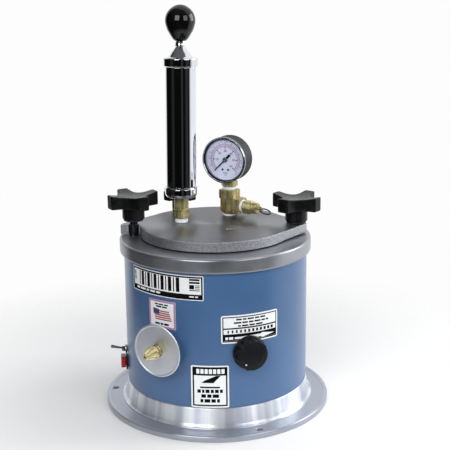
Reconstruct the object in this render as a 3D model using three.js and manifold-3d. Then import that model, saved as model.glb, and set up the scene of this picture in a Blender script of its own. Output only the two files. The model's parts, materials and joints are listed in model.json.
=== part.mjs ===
// A heated pressure pot for wax or resin, with a swing-away lid clamped by star knobs,
// a hand pump, a pressure gauge, a relief valve and a spring nozzle.
// Millimetres, +Z up. The origin is the centre of the base's underside.
// -Y is the front, where the nozzle and the controls are.
import * as THREE from "three";
import { mergeVertices } from "three/addons/utils/BufferGeometryUtils.js";
import Module from "manifold-3d";

const wasm = await Module();
wasm.setup();

// ---- Driving dimensions ----
const GAP = 0.3; // clearance left between pieces that touch
const BASE_RADIUS = 126.4;
const BASE_THICK = 6.8;
const CASING_RADIUS = 101.6;
const CASING_WALL = 1.4;
const CASING_BOTTOM = 27.4;
const CASING_TOP = 180.3;
const FLANGE_RADIUS = 106;
const FLANGE_BOTTOM = 180.8;
const FLANGE_TOP = 191.2;
const LID_RADIUS = 83.3;
const LID_BOTTOM = 192.5;
const LID_TOP = 203.2;
const TANK_RADIUS = 74.5;
const TANK_WALL = 2;
const TANK_BOTTOM = 38;
const STUD_OFFSET = 90.2; // each lid stud's distance from the pot's axis, along X
const STUD_RADIUS = 4.76;
const STUD_TOP = 222;
const STUD_BORE = STUD_RADIUS + 0.4; // the clearance hole in a knob or washer
const LEFT_KNOB_RAISE = 4.6; // the left knob stands backed off its tight position
const KNOB_REACH = 28.4;
const HUB_RADIUS = 12.4;
const HUB_HEIGHT = 13.6;
const ARM_HEIGHT = 14;
const ARM_WIDTH = 13;
const WASHER_THICK = 1.3;
const WASHER_RADIUS = 11;
const VENT_BORE = 4.3;
const VENT = { x: -40.1, y: 58 };
const VENT_SCALE = 0.78; // the vent knob is smaller than the clamp knobs
const VENT_SKIRT = 4; // and stands on a taller hub
const PUMP = { x: -37.5, y: 7.8 };
const PUMP_LEAN = 0.85; // the pump leans a little to the right
const PUMP_TUBE_BOTTOM = 244.9;
const PUMP_TUBE_TOP = 375.1;
const PISTON_BOTTOM = 254;
const TEE = { x: 17, y: 40.6 };
const BRANCH_AZIMUTH = 52;
const BRANCH_HEIGHT = 215.5;
const GAUGE_AZIMUTH = -25;
const GAUGE_HEIGHT = 269;
const GAUGE_RADIUS = 25.2;
const NOZZLE = { azimuth: -31.5, height: 92.8 };
const SHIELD_RADIUS = 28.5;
const SHIELD_FRONT = 119.3;
const NOZZLE_TIP = 140.4;
const THERMOSTAT = { azimuth: 19.4, height: 88.7 };
const TOGGLE = { azimuth: -84, height: 61.2 };
const LAMP = { azimuth: -84, height: 47 };
const GLAND = { azimuth: 180, height: 46 };
const COVER = { from: 97, to: 160, bottom: 43, top: 122 };
const PLATE_THICK = 0.5;

// ---- Shape helpers ----
const radians = THREE.MathUtils.degToRad;

function solidOf(geometry) {
  const bare = new THREE.BufferGeometry();
  bare.setAttribute("position", geometry.getAttribute("position").clone());
  if (geometry.index) bare.setIndex(geometry.index.clone());
  const merged = mergeVertices(bare, 1e-4);
  const mesh = new wasm.Mesh({
    numProp: 3,
    vertProperties: new Float32Array(merged.getAttribute("position").array),
    triVerts: new Uint32Array(merged.index.array),
  });
  return new wasm.Manifold(mesh);
}

function geometryOf(solid) {
  const mesh = solid.getMesh();
  const geometry = new THREE.BufferGeometry();
  geometry.setAttribute("position", new THREE.BufferAttribute(mesh.vertProperties, 3));
  geometry.setIndex(new THREE.BufferAttribute(mesh.triVerts, 1));
  geometry.computeVertexNormals();
  return geometry;
}

function cut(body, ...tools) {
  return geometryOf(tools.reduce((solid, tool) => solid.subtract(solidOf(tool)), solidOf(body)));
}

function join(first, ...others) {
  return geometryOf(others.reduce((solid, other) => solid.add(solidOf(other)), solidOf(first)));
}

// An outline of [radius, height] points, counter-clockwise, turned about +Z.
function turned(outline, segments = 18) {
  const closed = outline[0][0] > 0 ? [...outline, outline[0]] : outline;
  const points = closed.map(([radius, height]) => new THREE.Vector2(radius, height));
  return new THREE.LatheGeometry(points, segments).rotateX(Math.PI / 2);
}

function disc(radius, bottom, top, segments = 18) {
  return turned([[0, bottom], [radius, bottom], [radius, top], [0, top]], segments);
}

function ring(inner, outer, bottom, top, segments = 18) {
  return turned([[inner, bottom], [outer, bottom], [outer, top], [inner, top]], segments);
}

function prism(shape, bottom, top, curveSegments = 6) {
  const settings = { depth: top - bottom, bevelEnabled: false, curveSegments };
  return new THREE.ExtrudeGeometry(shape, settings).translate(0, 0, bottom);
}

function polygon(sides, acrossFlats, turn = 0) {
  const radius = acrossFlats / 2 / Math.cos(Math.PI / sides);
  const points = Array.from({ length: sides }, (_, i) => {
    const angle = (2 * Math.PI * i) / sides + turn;
    return new THREE.Vector2(radius * Math.cos(angle), radius * Math.sin(angle));
  });
  return new THREE.Shape(points);
}

function hex(acrossFlats, bottom, top, turn = 0) {
  return prism(polygon(6, acrossFlats, turn), bottom, top);
}

function block(width, depth, bottom, top) {
  return new THREE.BoxGeometry(width, depth, top - bottom).translate(0, 0, (top + bottom) / 2);
}

function roundedRectangle(width, height, corner) {
  const x = width / 2;
  const y = height / 2;
  const shape = new THREE.Shape();
  shape.moveTo(-x + corner, -y);
  shape.absarc(x - corner, -y + corner, corner, -Math.PI / 2, 0);
  shape.absarc(x - corner, y - corner, corner, 0, Math.PI / 2);
  shape.absarc(-x + corner, y - corner, corner, Math.PI / 2, Math.PI);
  shape.absarc(-x + corner, -y + corner, corner, Math.PI, 1.5 * Math.PI);
  return shape;
}

// A curved plate that wraps a cylinder between two azimuths. Azimuth 0 is the front, and + turns towards +X.
function wrapped(from, to, inner, thickness, bottom, top, step = 8) {
  const start = radians(from - 90);
  const end = radians(to - 90);
  const shape = new THREE.Shape();
  shape.absarc(0, 0, inner + thickness, start, end, false);
  shape.absarc(0, 0, inner, end, start, true);
  return prism(shape, bottom, top, Math.max(3, Math.ceil((to - from) / step)));
}

// A cutter or piece made about its own +Z, turned to point outwards from the pot's axis.
function facing(geometry, { azimuth, height }) {
  return geometry.translate(0, height, 0).rotateX(Math.PI / 2).rotateZ(radians(azimuth));
}

function smoothTube(curve, radius, sides, steps) {
  const settings = { steps, bevelEnabled: false, extrudePath: curve, curveSegments: sides / 2 };
  const section = new THREE.Shape().absarc(0, 0, radius, 0, 2 * Math.PI);
  return new THREE.ExtrudeGeometry(section, settings);
}

// ---- Placing helpers ----
function piece(name, geometry, material) {
  const mesh = new THREE.Mesh(geometry, material);
  mesh.name = name;
  return mesh;
}

function group(...children) {
  const made = new THREE.Group();
  made.add(...children);
  return made;
}

function placed(x, y, z, ...children) {
  const made = group(...children);
  made.position.set(x, y, z);
  return made;
}

// Children that lean towards +X, about a point at a height.
function leaning(degrees, height, ...children) {
  const made = placed(0, 0, height, placed(0, 0, -height, ...children));
  made.rotation.y = radians(degrees);
  return made;
}

// Children made about their own +Z, +Y up, are turned to face an azimuth at a height.
function station({ azimuth, height }, ...children) {
  const made = placed(0, 0, height, ...children);
  made.rotation.set(Math.PI / 2, 0, radians(azimuth), "ZXY");
  return made;
}

// ---- Materials ----
function finish(color, roughness, metalness) {
  return new THREE.MeshStandardMaterial({ color, roughness, metalness });
}

const spunAluminium = finish(0xc9ced6, 0.3, 1);
const castAluminium = finish(0x8d9094, 0.5, 1);
const bluePaint = finish(0x56749c, 0.35, 0.1);
const brass = finish(0xb89a55, 0.3, 1);
const chrome = finish(0xd8dade, 0.08, 1);
const steel = finish(0x9a9c9f, 0.35, 1);
const blackPlastic = finish(0x121214, 0.35, 0);
const blackRubber = finish(0x1a1a1a, 0.8, 0);
const whiteTape = finish(0xf2f2ee, 0.7, 0);
const whiteEnamel = finish(0xe8eaf2, 0.5, 0);
const redLens = finish(0x8a0a12, 0.2, 0);
const clearGlass = finish(0xf4f7fa, 0.05, 0);
const mineralWool = finish(0xc9b98a, 0.95, 0);
const brownBakelite = finish(0x2a2320, 0.5, 0);
const greyEnamel = finish(0x3c4046, 0.45, 0.3);

// ---- The pot: base, casing, tank and flange ----
const BOLT_AZIMUTHS = [-93, 22, 144.5];
const BOLT_CIRCLE = 117.8;
const BOLT_HOLE = 3.4;

function baseFlange() {
  const body = turned([
    [95, 0], [125.4, 0], [BASE_RADIUS, 1], [BASE_RADIUS, 5.6], [125.4, BASE_THICK], [109, 6.2],
    [105.6, 10], [CASING_RADIUS, 27.1], [99.5, 27.1], [99.5, 33], [97.8, 33], [103, 9], [103, 4], [95, 4],
  ], 40);
  const hole = disc(BOLT_HOLE, -1, 9, 16).translate(0, -BOLT_CIRCLE, 0);
  const holes = BOLT_AZIMUTHS.map((azimuth) => hole.clone().rotateZ(radians(azimuth)));
  return piece("base_flange", cut(body, ...holes), spunAluminium);
}

function bottomPlate() {
  const vent = disc(5, 3, 7, 10).translate(62, 0, 0);
  const vents = Array.from({ length: 6 }, (_, i) => vent.clone().rotateZ((i * Math.PI) / 3));
  return piece("bottom_plate", cut(disc(102.2, 4.3, 5.8, 40), ...vents), steel);
}

function outerCasing() {
  const inner = CASING_RADIUS - CASING_WALL;
  const shell = ring(inner, CASING_RADIUS, CASING_BOTTOM, CASING_TOP, 48);
  const openings = [
    facing(disc(9, 80, 120, 20), NOZZLE),
    facing(disc(4.2, 80, 120, 16), THERMOSTAT),
    facing(disc(3.5, 80, 120, 16), TOGGLE),
    facing(block(13.4, 13.4, 80, 120), LAMP),
    facing(disc(6.8, 80, 120, 16), GLAND),
  ];
  return piece("outer_casing", cut(shell, ...openings), bluePaint);
}

function topFlange() {
  const body = turned([
    [75.2, FLANGE_BOTTOM], [97, FLANGE_BOTTOM], [97, 175], [99.6, 175], [99.6, FLANGE_BOTTOM],
    [FLANGE_RADIUS, FLANGE_BOTTOM], [FLANGE_RADIUS, 190], [104.8, FLANGE_TOP],
    [82.7, FLANGE_TOP], [82.7, 188.2], [77.2, 188.2], [77.2, FLANGE_TOP], [75.2, FLANGE_TOP],
  ], 40);
  const socket = disc(STUD_BORE, 183, 195, 16);
  const sockets = [-STUD_OFFSET, STUD_OFFSET].map((x) => socket.clone().translate(x, 0, 0));
  return piece("top_flange", cut(body, ...sockets), castAluminium);
}

function tank() {
  const inner = TANK_RADIUS - TANK_WALL;
  const body = turned([
    [0, TANK_BOTTOM], [63, TANK_BOTTOM], [71.1, 41.3], [TANK_RADIUS, 49], [TANK_RADIUS, 190.9],
    [inner, 190.9], [inner, 49.6], [69.6, 43], [62.4, TANK_BOTTOM + TANK_WALL], [0, TANK_BOTTOM + TANK_WALL],
  ], 36);
  return piece("tank", cut(body, facing(disc(6.4, 60, 90, 16), NOZZLE)), castAluminium);
}

function heaterBand() {
  return piece("heater_band", wrapped(-172, 172, TANK_RADIUS + 1, 2.6, 52, 78, 14), steel);
}

function insulationSleeve() {
  const body = ring(TANK_RADIUS + 5, TANK_RADIUS + 11, 46, 172, 36);
  const opening = facing(disc(9, 60, 100, 16), NOZZLE);
  return piece("insulation_sleeve", cut(body, opening), mineralWool);
}

function lidGasket() {
  return piece("lid_gasket", ring(77.6, 82.3, 188.5, 192.2, 36), blackRubber);
}

function lidStud(name, x) {
  const body = turned([
    [0, 183.3], [STUD_RADIUS, 183.3], [STUD_RADIUS, STUD_TOP - 1], [3.8, STUD_TOP], [0, STUD_TOP],
  ], 16);
  return placed(x, 0, 0, piece(name, body, steel));
}

// ---- The nozzle, which opens when a mould is pressed on its tip ----
function nozzleBody() {
  const shank = turned([[0, 66], [6, 66], [6, 101], [8.4, 101], [8.4, 103], [0, 103]], 16);
  const collar = hex(19, 102, 117, Math.PI / 6);
  const neck = disc(6.4, 116, 121.5, 20);
  const bore = disc(4.4, 104, 125, 16);
  const passage = disc(1.8, 64, 106, 10);
  return piece("nozzle_body", cut(join(shank, collar, neck), bore, passage), brass);
}

function nozzleShield() {
  const body = turned([
    [6.9, SHIELD_FRONT - 1.8], [SHIELD_RADIUS - 0.6, SHIELD_FRONT - 1.8], [SHIELD_RADIUS, SHIELD_FRONT - 1.2],
    [SHIELD_RADIUS, SHIELD_FRONT - 0.5], [SHIELD_RADIUS - 0.6, SHIELD_FRONT], [6.9, SHIELD_FRONT],
  ], 32);
  return piece("nozzle_shield", body, spunAluminium);
}

function nozzleLocknut() {
  return piece("nozzle_locknut", cut(hex(17, 66.4, 71.4), disc(6.4, 66, 72, 16)), brass);
}

function nozzleSpring() {
  const turns = 3;
  const coil = new THREE.Curve();
  coil.getPoint = (t, target = new THREE.Vector3()) => {
    const angle = 2 * Math.PI * turns * t;
    return target.set(3.4 * Math.cos(angle), 3.4 * Math.sin(angle), 105.2 + 6.4 * t);
  };
  return piece("nozzle_spring", smoothTube(coil, 0.5, 6, turns * 8), steel);
}

function nozzleTip() {
  const body = turned([
    [0, 112.6], [4, 112.6], [4, 124.6], [6.6, 124.6], [7.6, 126], [7.4, 128], [5.2, 135],
    [3.2, NOZZLE_TIP - 0.7], [2.4, NOZZLE_TIP], [0, NOZZLE_TIP],
  ], 18);
  const flutes = Array.from({ length: 6 }, (_, i) => {
    const flute = new THREE.CylinderGeometry(2, 2, 18, 8).rotateX(Math.PI / 2);
    return flute.rotateX(radians(-18)).translate(0, 8, 133).rotateZ((i * Math.PI) / 3);
  });
  return piece("nozzle_tip", cut(body, ...flutes, disc(1, 111, 142, 10)), brass);
}

// ---- Controls on the casing ----
function thermostatBody() {
  const can = disc(16, 87, 98.6, 18);
  const bush = disc(4, 98, 99.6, 16);
  return piece("thermostat_body", cut(join(can, bush), disc(3.3, 92, 101, 12)), brownBakelite);
}

function thermostatShaft() {
  return piece("thermostat_shaft", disc(3, 92.4, 111, 12), steel);
}

const GRIP_SCALLOPS = 13;

function temperatureKnob() {
  const skirt = turned([[0, 103], [17.6, 103], [17.6, 105.4], [16, 106.4], [0, 106.4]], 28);
  const outline = Array.from({ length: 4 * GRIP_SCALLOPS }, (_, i) => {
    const angle = (2 * Math.PI * i) / (4 * GRIP_SCALLOPS);
    const radius = 15.6 + 0.6 * Math.cos(GRIP_SCALLOPS * angle);
    return new THREE.Vector2(radius * Math.cos(angle), radius * Math.sin(angle));
  });
  const grip = prism(new THREE.Shape(outline), 106, 114.6);
  const dome = turned([[0, 114.2], [14.8, 114.2], [14.2, 115.6], [9, 116.9], [0, 117.4]], 18);
  return piece("temperature_knob", cut(join(skirt, grip, dome), disc(3.3, 100, 112, 12)), blackPlastic);
}

function toggleBody() {
  const housing = block(8, 13, 88, 99.2);
  const bush = disc(3, 99, 108, 16);
  return piece("toggle_body", cut(join(housing, bush), disc(2.4, 101, 110, 12)), chrome);
}

function toggleNut() {
  return piece("toggle_nut", cut(hex(8.4, 102, 104), disc(3.3, 101, 106, 12)), chrome);
}

const TOGGLE_PIVOT = 103.8;
const TOGGLE_TILT = 13.3;

function toggleLever() {
  const body = turned([
    [0, -1.6], [1.5, -1], [1.5, 0.8], [1.1, 2.4], [1.5, 15], [1.3, 16.3], [0, 16.9],
  ], 12);
  const lever = piece("toggle_lever", body, chrome);
  lever.position.set(0, 0, TOGGLE_PIVOT);
  lever.rotation.x = radians(-TOGGLE_TILT);
  return lever;
}

function lampBezel() {
  const plate = prism(roundedRectangle(16.5, 16.5, 1.5), 102, 103.8, 2);
  const back = block(12.4, 12.4, 88, 102.5);
  const seat = block(9.6, 9.6, 98, 105);
  return piece("lamp_bezel", cut(join(plate, back), seat), blackPlastic);
}

function lampLens() {
  const cap = prism(roundedRectangle(12.7, 12.7, 1), 104.1, 109.3, 2);
  const plug = block(9, 9, 98.4, 104.5);
  return piece("lamp_lens", join(cap, plug), redLens);
}

function cordGland() {
  const body = turned([
    [4, 94], [9, 94], [9, 99], [6.2, 99], [6.2, 102.2], [10, 102.2], [10, 107],
    [8.8, 108], [8.4, 114], [6.6, 117], [4, 117],
  ], 16);
  return piece("cord_gland", body, blackPlastic);
}

function casingPlate(name, from, to, bottom, top, material) {
  return piece(name, wrapped(from, to, CASING_RADIUS + GAP, PLATE_THICK, bottom, top), material);
}

function rearCover() {
  const sheet = wrapped(COVER.from, COVER.to, CASING_RADIUS + GAP, 1.2, COVER.bottom, COVER.top);
  return piece("rear_cover", sheet, greyEnamel);
}

// ---- Knobs and washers ----
function starOutline() {
  const half = ARM_WIDTH / 2;
  const corner = 4.6;
  const root = 12.5;
  const shape = new THREE.Shape();
  const at = (along, across, angle) => [
    along * Math.cos(angle) - across * Math.sin(angle),
    along * Math.sin(angle) + across * Math.cos(angle),
  ];
  shape.moveTo(...at(root, -half, 0));
  for (let arm = 0; arm < 4; arm++) {
    const angle = (arm * Math.PI) / 2;
    shape.lineTo(...at(KNOB_REACH - corner, -half, angle));
    shape.quadraticCurveTo(...at(KNOB_REACH, -half, angle), ...at(KNOB_REACH, -half + corner, angle));
    shape.lineTo(...at(KNOB_REACH, half - corner, angle));
    shape.quadraticCurveTo(...at(KNOB_REACH, half, angle), ...at(KNOB_REACH - corner, half, angle));
    shape.lineTo(...at(root, half, angle));
    shape.quadraticCurveTo(...at(half, half, angle), ...at(half, root, angle));
  }
  return shape;
}

// A four-armed star knob, whose hub stands on z = 0. Its top is dished between the arm tips.
function starKnob() {
  const hub = disc(HUB_RADIUS, 0, HUB_HEIGHT + 1, 20);
  const arms = prism(starOutline(), HUB_HEIGHT, HUB_HEIGHT + ARM_HEIGHT, 3);
  const dish = turned([
    [0, HUB_HEIGHT + 10.4], [12, HUB_HEIGHT + 11], [28, HUB_HEIGHT + 14.6],
    [28, HUB_HEIGHT + 20], [0, HUB_HEIGHT + 20],
  ], 16);
  return cut(join(hub, arms), dish);
}

function clampKnob(name, turn) {
  const knob = piece(name, cut(starKnob(), disc(STUD_BORE, -1, 20.4, 16)), blackPlastic);
  knob.rotation.z = radians(turn);
  return knob;
}

function ventKnob() {
  const star = starKnob().scale(VENT_SCALE, VENT_SCALE, VENT_SCALE).translate(0, 0, VENT_SKIRT);
  const skirt = disc(HUB_RADIUS * VENT_SCALE, 0, VENT_SKIRT + 1, 20);
  const knob = piece("vent_knob", join(star, skirt, disc(VENT_BORE - 0.4, -12.2, 1, 16)), blackPlastic);
  knob.rotation.z = radians(45);
  return knob;
}

function washer(name, bore, radius, material) {
  return piece(name, ring(bore, radius, 0, WASHER_THICK, 16), material);
}

// A washer on z = 0 with its knob standing on it.
function knobStack(x, y, raise, flat, knob) {
  knob.position.z = WASHER_THICK + GAP;
  return placed(x, y, LID_TOP + GAP + raise, flat, knob);
}

// ---- The lid ----
// A rounded ear that blends into the lid's edge. A hooked ear stops short of its front half.
const HOOK_FRONT = -1.5;

function ear(x, radius, hooked) {
  const reach = Math.abs(x);
  const side = Math.sign(x);
  const tangent = Math.acos((LID_RADIUS - radius) / reach);
  const shape = new THREE.Shape();
  const edge = (centre, size, angle) => [centre + side * size * Math.cos(angle), size * Math.sin(angle)];
  const start = hooked ? Math.asin(HOOK_FRONT / radius) : -tangent;
  shape.moveTo(...(hooked ? [0, HOOK_FRONT] : edge(0, LID_RADIUS - 0.5, -tangent)));
  for (let i = 0; i <= 8; i++) shape.lineTo(...edge(x, radius, start + ((tangent - start) * i) / 8));
  shape.lineTo(...edge(0, LID_RADIUS - 0.5, tangent));
  return shape;
}

function counterClockwise(shape) {
  const points = shape.getPoints();
  return THREE.ShapeUtils.isClockWise(points) ? new THREE.Shape(points.reverse()) : shape;
}

function lid() {
  const plate = turned([
    [0, LID_BOTTOM], [LID_RADIUS, LID_BOTTOM], [LID_RADIUS, LID_TOP - 1.6],
    [LID_RADIUS - 1.6, LID_TOP], [0, LID_TOP],
  ], 48);
  const ears = [ear(-STUD_OFFSET, 14.6, true), ear(STUD_OFFSET, 11.5, false)]
    .map((shape) => prism(counterClockwise(shape), LID_BOTTOM, LID_TOP - 0.4));
  const slotMouth = new THREE.Shape();
  const half = 5.8;
  slotMouth.moveTo(-STUD_OFFSET - half - 1.2, -20);
  slotMouth.lineTo(-STUD_OFFSET + half + 1.2, -20);
  slotMouth.lineTo(-STUD_OFFSET + half, 0);
  slotMouth.absarc(-STUD_OFFSET, 0, half, 0, Math.PI);
  const through = (radius, x, y) => disc(radius, LID_BOTTOM - 5, LID_TOP + 5, 20).translate(x, y, 0);
  const cutters = [
    prism(slotMouth, LID_BOTTOM - 5, LID_TOP + 5),
    through(STUD_RADIUS + 0.6, STUD_OFFSET, 0),
    through(6.8, PUMP.x, PUMP.y),
    through(5.6, TEE.x, TEE.y),
    through(VENT_BORE, VENT.x, VENT.y),
    disc(2.4, LID_TOP - 2.2, LID_TOP + 5, 12).translate(16, -29, 0),
  ];
  return piece("lid", cut(join(plate, ...ears), ...cutters), castAluminium);
}

// ---- The hand pump ----
function pumpAdapter() {
  const stem = disc(6.4, LID_BOTTOM + GAP, 210, 20);
  const nut = hex(17.1, 208.9, 219.2, Math.PI / 6);
  const barrel = turned([[0, 219], [8, 219], [8, 231.8], [0, 231.8]], 18);
  const neck = disc(7, 231, 237, 20);
  return piece("pump_adapter", cut(join(stem, nut, barrel, neck), disc(2.5, 190, 238, 10)), brass);
}

function pumpTape() {
  return piece("pump_tape", ring(6.7, 7.6, LID_TOP + GAP, 208.6, 18), whiteTape);
}

function pumpCollar() {
  const body = turned([
    [7.4, 232.2], [14.2, 232.2], [16.8, 233.4], [18, 236.2], [18.1, 242.9], [17.1, 244.4], [7.4, 244.4],
  ], 28);
  return piece("pump_collar", body, chrome);
}

function pumpTube() {
  return piece("pump_tube", ring(14.9, 16.75, PUMP_TUBE_BOTTOM, PUMP_TUBE_TOP, 32), chrome);
}

function pumpCap() {
  const body = turned([
    [4.5, 375.4], [17.9, 375.4], [18.9, 376.6], [18.9, 384],
    [17.9, 385.2], [13.4, 385.4], [5.3, 396.6], [4.5, 396.9],
  ], 28);
  return piece("pump_cap", body, chrome);
}

function checkValve() {
  const body = turned([[1.2, 245], [14.4, 245], [14.4, 247.6], [5, 247.6], [4, 250.4], [1.2, 250.4]], 20);
  return piece("check_valve", body, blackRubber);
}

function pumpRod() {
  return piece("pump_rod", disc(4, PISTON_BOTTOM + 1.5, 404, 16), chrome);
}

function pumpPiston() {
  const body = turned([
    [4.3, 0], [14.2, 0], [14.2, 2], [12.3, 2], [12.3, 6.5], [14.2, 6.5], [14.2, 8.5], [4.3, 8.5],
  ], 20);
  return piece("pump_piston", body.translate(0, 0, PISTON_BOTTOM), brass);
}

function pistonSeal() {
  return piece("piston_seal", ring(12.6, 14.6, PISTON_BOTTOM + 2.3, PISTON_BOTTOM + 6.2, 18), blackRubber);
}

function knobFerrule() {
  const body = turned([[4.3, 397.2], [5.8, 397.2], [5.8, 399.4], [4.9, 402.4], [4.3, 402.4]]);
  return piece("knob_ferrule", body, chrome);
}

function pumpKnob() {
  const body = turned([
    [0, 402.8], [6.6, 402.8], [7.9, 404.6], [10.7, 409.1], [13.2, 413.6], [14.8, 418.1], [15.7, 422.6],
    [15.4, 427.1], [13.9, 431.6], [10.4, 436.2], [5.7, 439.3], [0, 440.6],
  ], 20);
  return piece("pump_knob", cut(body, disc(4.3, 400, 410, 12)), blackPlastic);
}

// ---- The gauge and relief valve, on a brass tee ----
const TEE_SIDE = 19.4;
const TEE_TOP = 233.1;

function gaugeTee() {
  const upright = prism(roundedRectangle(TEE_SIDE, TEE_SIDE, 2.2), 223.1, TEE_TOP, 2);
  const barrel = prism(roundedRectangle(17.6, 17.6, 4), 206.8, 224, 3);
  const foot = disc(8, 205.5, 208, 18);
  const stem = disc(5.2, LID_BOTTOM + GAP, 206, 16);
  const branch = prism(roundedRectangle(17.4, 17.4, 2.2), 8, 17.8, 2);
  branch.rotateX(Math.PI / 2).translate(0, 0, BRANCH_HEIGHT);
  const port = disc(5.7, 222, 235, 16);
  const bore = disc(2.6, 190, 224, 10);
  const sidePort = disc(5.4, 8.5, 20, 16).rotateX(Math.PI / 2).translate(0, 0, BRANCH_HEIGHT);
  const sideBore = disc(2.2, 0, 10, 10).rotateX(Math.PI / 2).translate(0, 0, BRANCH_HEIGHT);
  const body = cut(join(upright, barrel, foot, stem, branch), port, bore, sidePort, sideBore);
  const tee = piece("gauge_tee", body, brass);
  tee.rotation.z = radians(BRANCH_AZIMUTH);
  return tee;
}

function gaugeTape() {
  return piece("gauge_tape", ring(5.4, 7.9, TEE_TOP + GAP, 237.1), whiteTape);
}

function gaugeSocket() {
  const thread = disc(5.1, 223, 238, 16);
  const nut = hex(17, 237.4, 243.4, Math.PI / 6 + radians(GAUGE_AZIMUTH));
  const stem = disc(4.6, 243, 250, 16);
  const bracket = block(9, 7, 249.5, 262).rotateZ(radians(GAUGE_AZIMUTH));
  return piece("gauge_socket", cut(join(thread, nut, stem, bracket), disc(1.6, 221, 255, 8)), brass);
}

function gaugeCase() {
  const cup = turned([
    [0, -7.5], [24, -7.5], [GAUGE_RADIUS, -6.3], [GAUGE_RADIUS, 13.2], [24.2, 13.2], [24.2, -6.3], [0, -6.3],
  ], 36);
  const stemHole = disc(5, 15, 30, 16).rotateX(Math.PI / 2);
  return piece("gauge_case", cut(cup, stemHole), greyEnamel);
}

function gaugeBezel() {
  const body = turned([
    [23.9, 13.5], [25.3, 13.5], [25.7, 14], [25.7, 15.9], [25, 16.6], [24.4, 16.6], [23.9, 16.1],
  ], 32);
  return piece("gauge_bezel", body, chrome);
}

function gaugeDial() {
  return piece("gauge_dial", ring(1.3, 23.6, 10.2, 11, 18), whiteEnamel);
}

function gaugeLens() {
  return piece("gauge_lens", disc(23.5, 14.2, 15.4, 28), clearGlass);
}

// The needle rests at zero, at the lower left of the scale.
function gaugeNeedle() {
  const blade = new THREE.Shape();
  blade.moveTo(-1.1, -8);
  blade.lineTo(1.1, -8);
  blade.lineTo(0.9, 4);
  blade.lineTo(0.25, 17);
  blade.lineTo(-0.25, 17);
  blade.lineTo(-0.9, 4);
  const cap = disc(2.8, 11.7, 13.3, 16);
  const spindle = disc(0.9, 5, 12, 8);
  const needle = piece("gauge_needle", join(prism(blade, 12, 12.7), cap, spindle), blackPlastic);
  needle.rotation.z = radians(135);
  return needle;
}

function bourdonTube() {
  const arc = new THREE.Curve();
  arc.getPoint = (t, target = new THREE.Vector3()) => {
    const angle = radians(-62 + 285 * t);
    return target.set(17 * Math.cos(angle), 17 * Math.sin(angle), 0);
  };
  return piece("bourdon_tube", smoothTube(arc, 1.5, 6, 16), brass);
}

function reliefTape() {
  return piece("relief_tape", ring(5.5, 7.5, 18.1, 21.7, 18), whiteTape);
}

function reliefValveBody() {
  const thread = disc(5.1, 9.2, 23, 16);
  const nut = hex(14.2, 22, 32.6);
  const barrel = turned([[0, 32], [6.3, 32], [6.3, 38.6], [5.2, 39.8], [0, 39.8]], 20);
  return piece("relief_valve_body", cut(join(thread, nut, barrel), disc(1.9, 28, 42, 10)), brass);
}

const EYE_REACH = 44;
const PULL_RING_RADIUS = 6.2;
const PULL_RING_DROOP = 20;

function reliefStem() {
  const shaft = disc(1.5, 28.6, EYE_REACH - 1, 10);
  const eye = new THREE.CylinderGeometry(2.6, 2.6, 2.2, 16).rotateZ(Math.PI / 2).translate(0, 0, EYE_REACH);
  const hole = new THREE.CylinderGeometry(1.2, 1.2, 6, 12).rotateZ(Math.PI / 2).translate(0, 0, EYE_REACH);
  return piece("relief_stem", cut(join(shaft, eye), hole), brass);
}

// The pull ring hangs through the stem's eye and droops a little.
function reliefRing() {
  const loop = new THREE.TorusGeometry(PULL_RING_RADIUS, 0.8, 6, 20).rotateX(Math.PI / 2);
  const hanging = piece("relief_ring", loop.translate(0, 0, PULL_RING_RADIUS), steel);
  hanging.position.z = EYE_REACH;
  hanging.rotation.x = radians(PULL_RING_DROOP);
  return hanging;
}

// ---- Assembly ----
const pot = group(
  baseFlange(),
  bottomPlate(),
  outerCasing(),
  topFlange(),
  tank(),
  heaterBand(),
  insulationSleeve(),
  lidGasket(),
  lidStud("left_stud", -STUD_OFFSET),
  lidStud("right_stud", STUD_OFFSET),
  station(NOZZLE, nozzleBody(), nozzleShield(), nozzleLocknut(), nozzleSpring(), nozzleTip()),
  station(THERMOSTAT, thermostatBody(), thermostatShaft(), temperatureKnob()),
  station(TOGGLE, toggleBody(), toggleNut(), toggleLever()),
  station(LAMP, lampBezel(), lampLens()),
  station(GLAND, cordGland()),
  rearCover(),
  casingPlate("name_plate", -58.8, -7.1, 146.3, 172.7, whiteEnamel),
  casingPlate("small_sticker", -43.5, -24.4, 111.8, 142.2, whiteEnamel),
  casingPlate("scale_plate", 2.6, 38.7, 99.6, 130, whiteEnamel),
  casingPlate("notice_plate", -15.5, 7, 28.4, 75.5, whiteEnamel),
  knobStack(
    -STUD_OFFSET, 0, LEFT_KNOB_RAISE,
    washer("left_washer", STUD_BORE, WASHER_RADIUS, steel), clampKnob("left_knob", 30),
  ),
  knobStack(
    STUD_OFFSET, 0, 0,
    washer("right_washer", STUD_BORE, WASHER_RADIUS, steel), clampKnob("right_knob", 52),
  ),
);

const reliefValve = station(
  { azimuth: BRANCH_AZIMUTH, height: BRANCH_HEIGHT },
  reliefTape(), reliefValveBody(), reliefStem(), reliefRing(),
);

const gaugeHead = station(
  { azimuth: GAUGE_AZIMUTH, height: GAUGE_HEIGHT },
  gaugeCase(), gaugeBezel(), gaugeDial(), gaugeLens(), gaugeNeedle(), bourdonTube(),
);

const lidAssembly = group(
  lid(),
  placed(
    PUMP.x, PUMP.y, 0,
    leaning(
      PUMP_LEAN, LID_TOP,
      pumpAdapter(), pumpTape(), pumpCollar(), pumpTube(), pumpCap(), checkValve(),
      pumpRod(), pumpPiston(), pistonSeal(), knobFerrule(), pumpKnob(),
    ),
  ),
  placed(
    TEE.x, TEE.y, 0,
    gaugeTee(),
    gaugeSocket(),
    gaugeTape(),
    gaugeHead,
    reliefValve,
  ),
  knobStack(VENT.x, VENT.y, 0, washer("vent_washer", VENT_BORE, 9, blackRubber), ventKnob()),
);

export default group(pot, lidAssembly);
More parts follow.
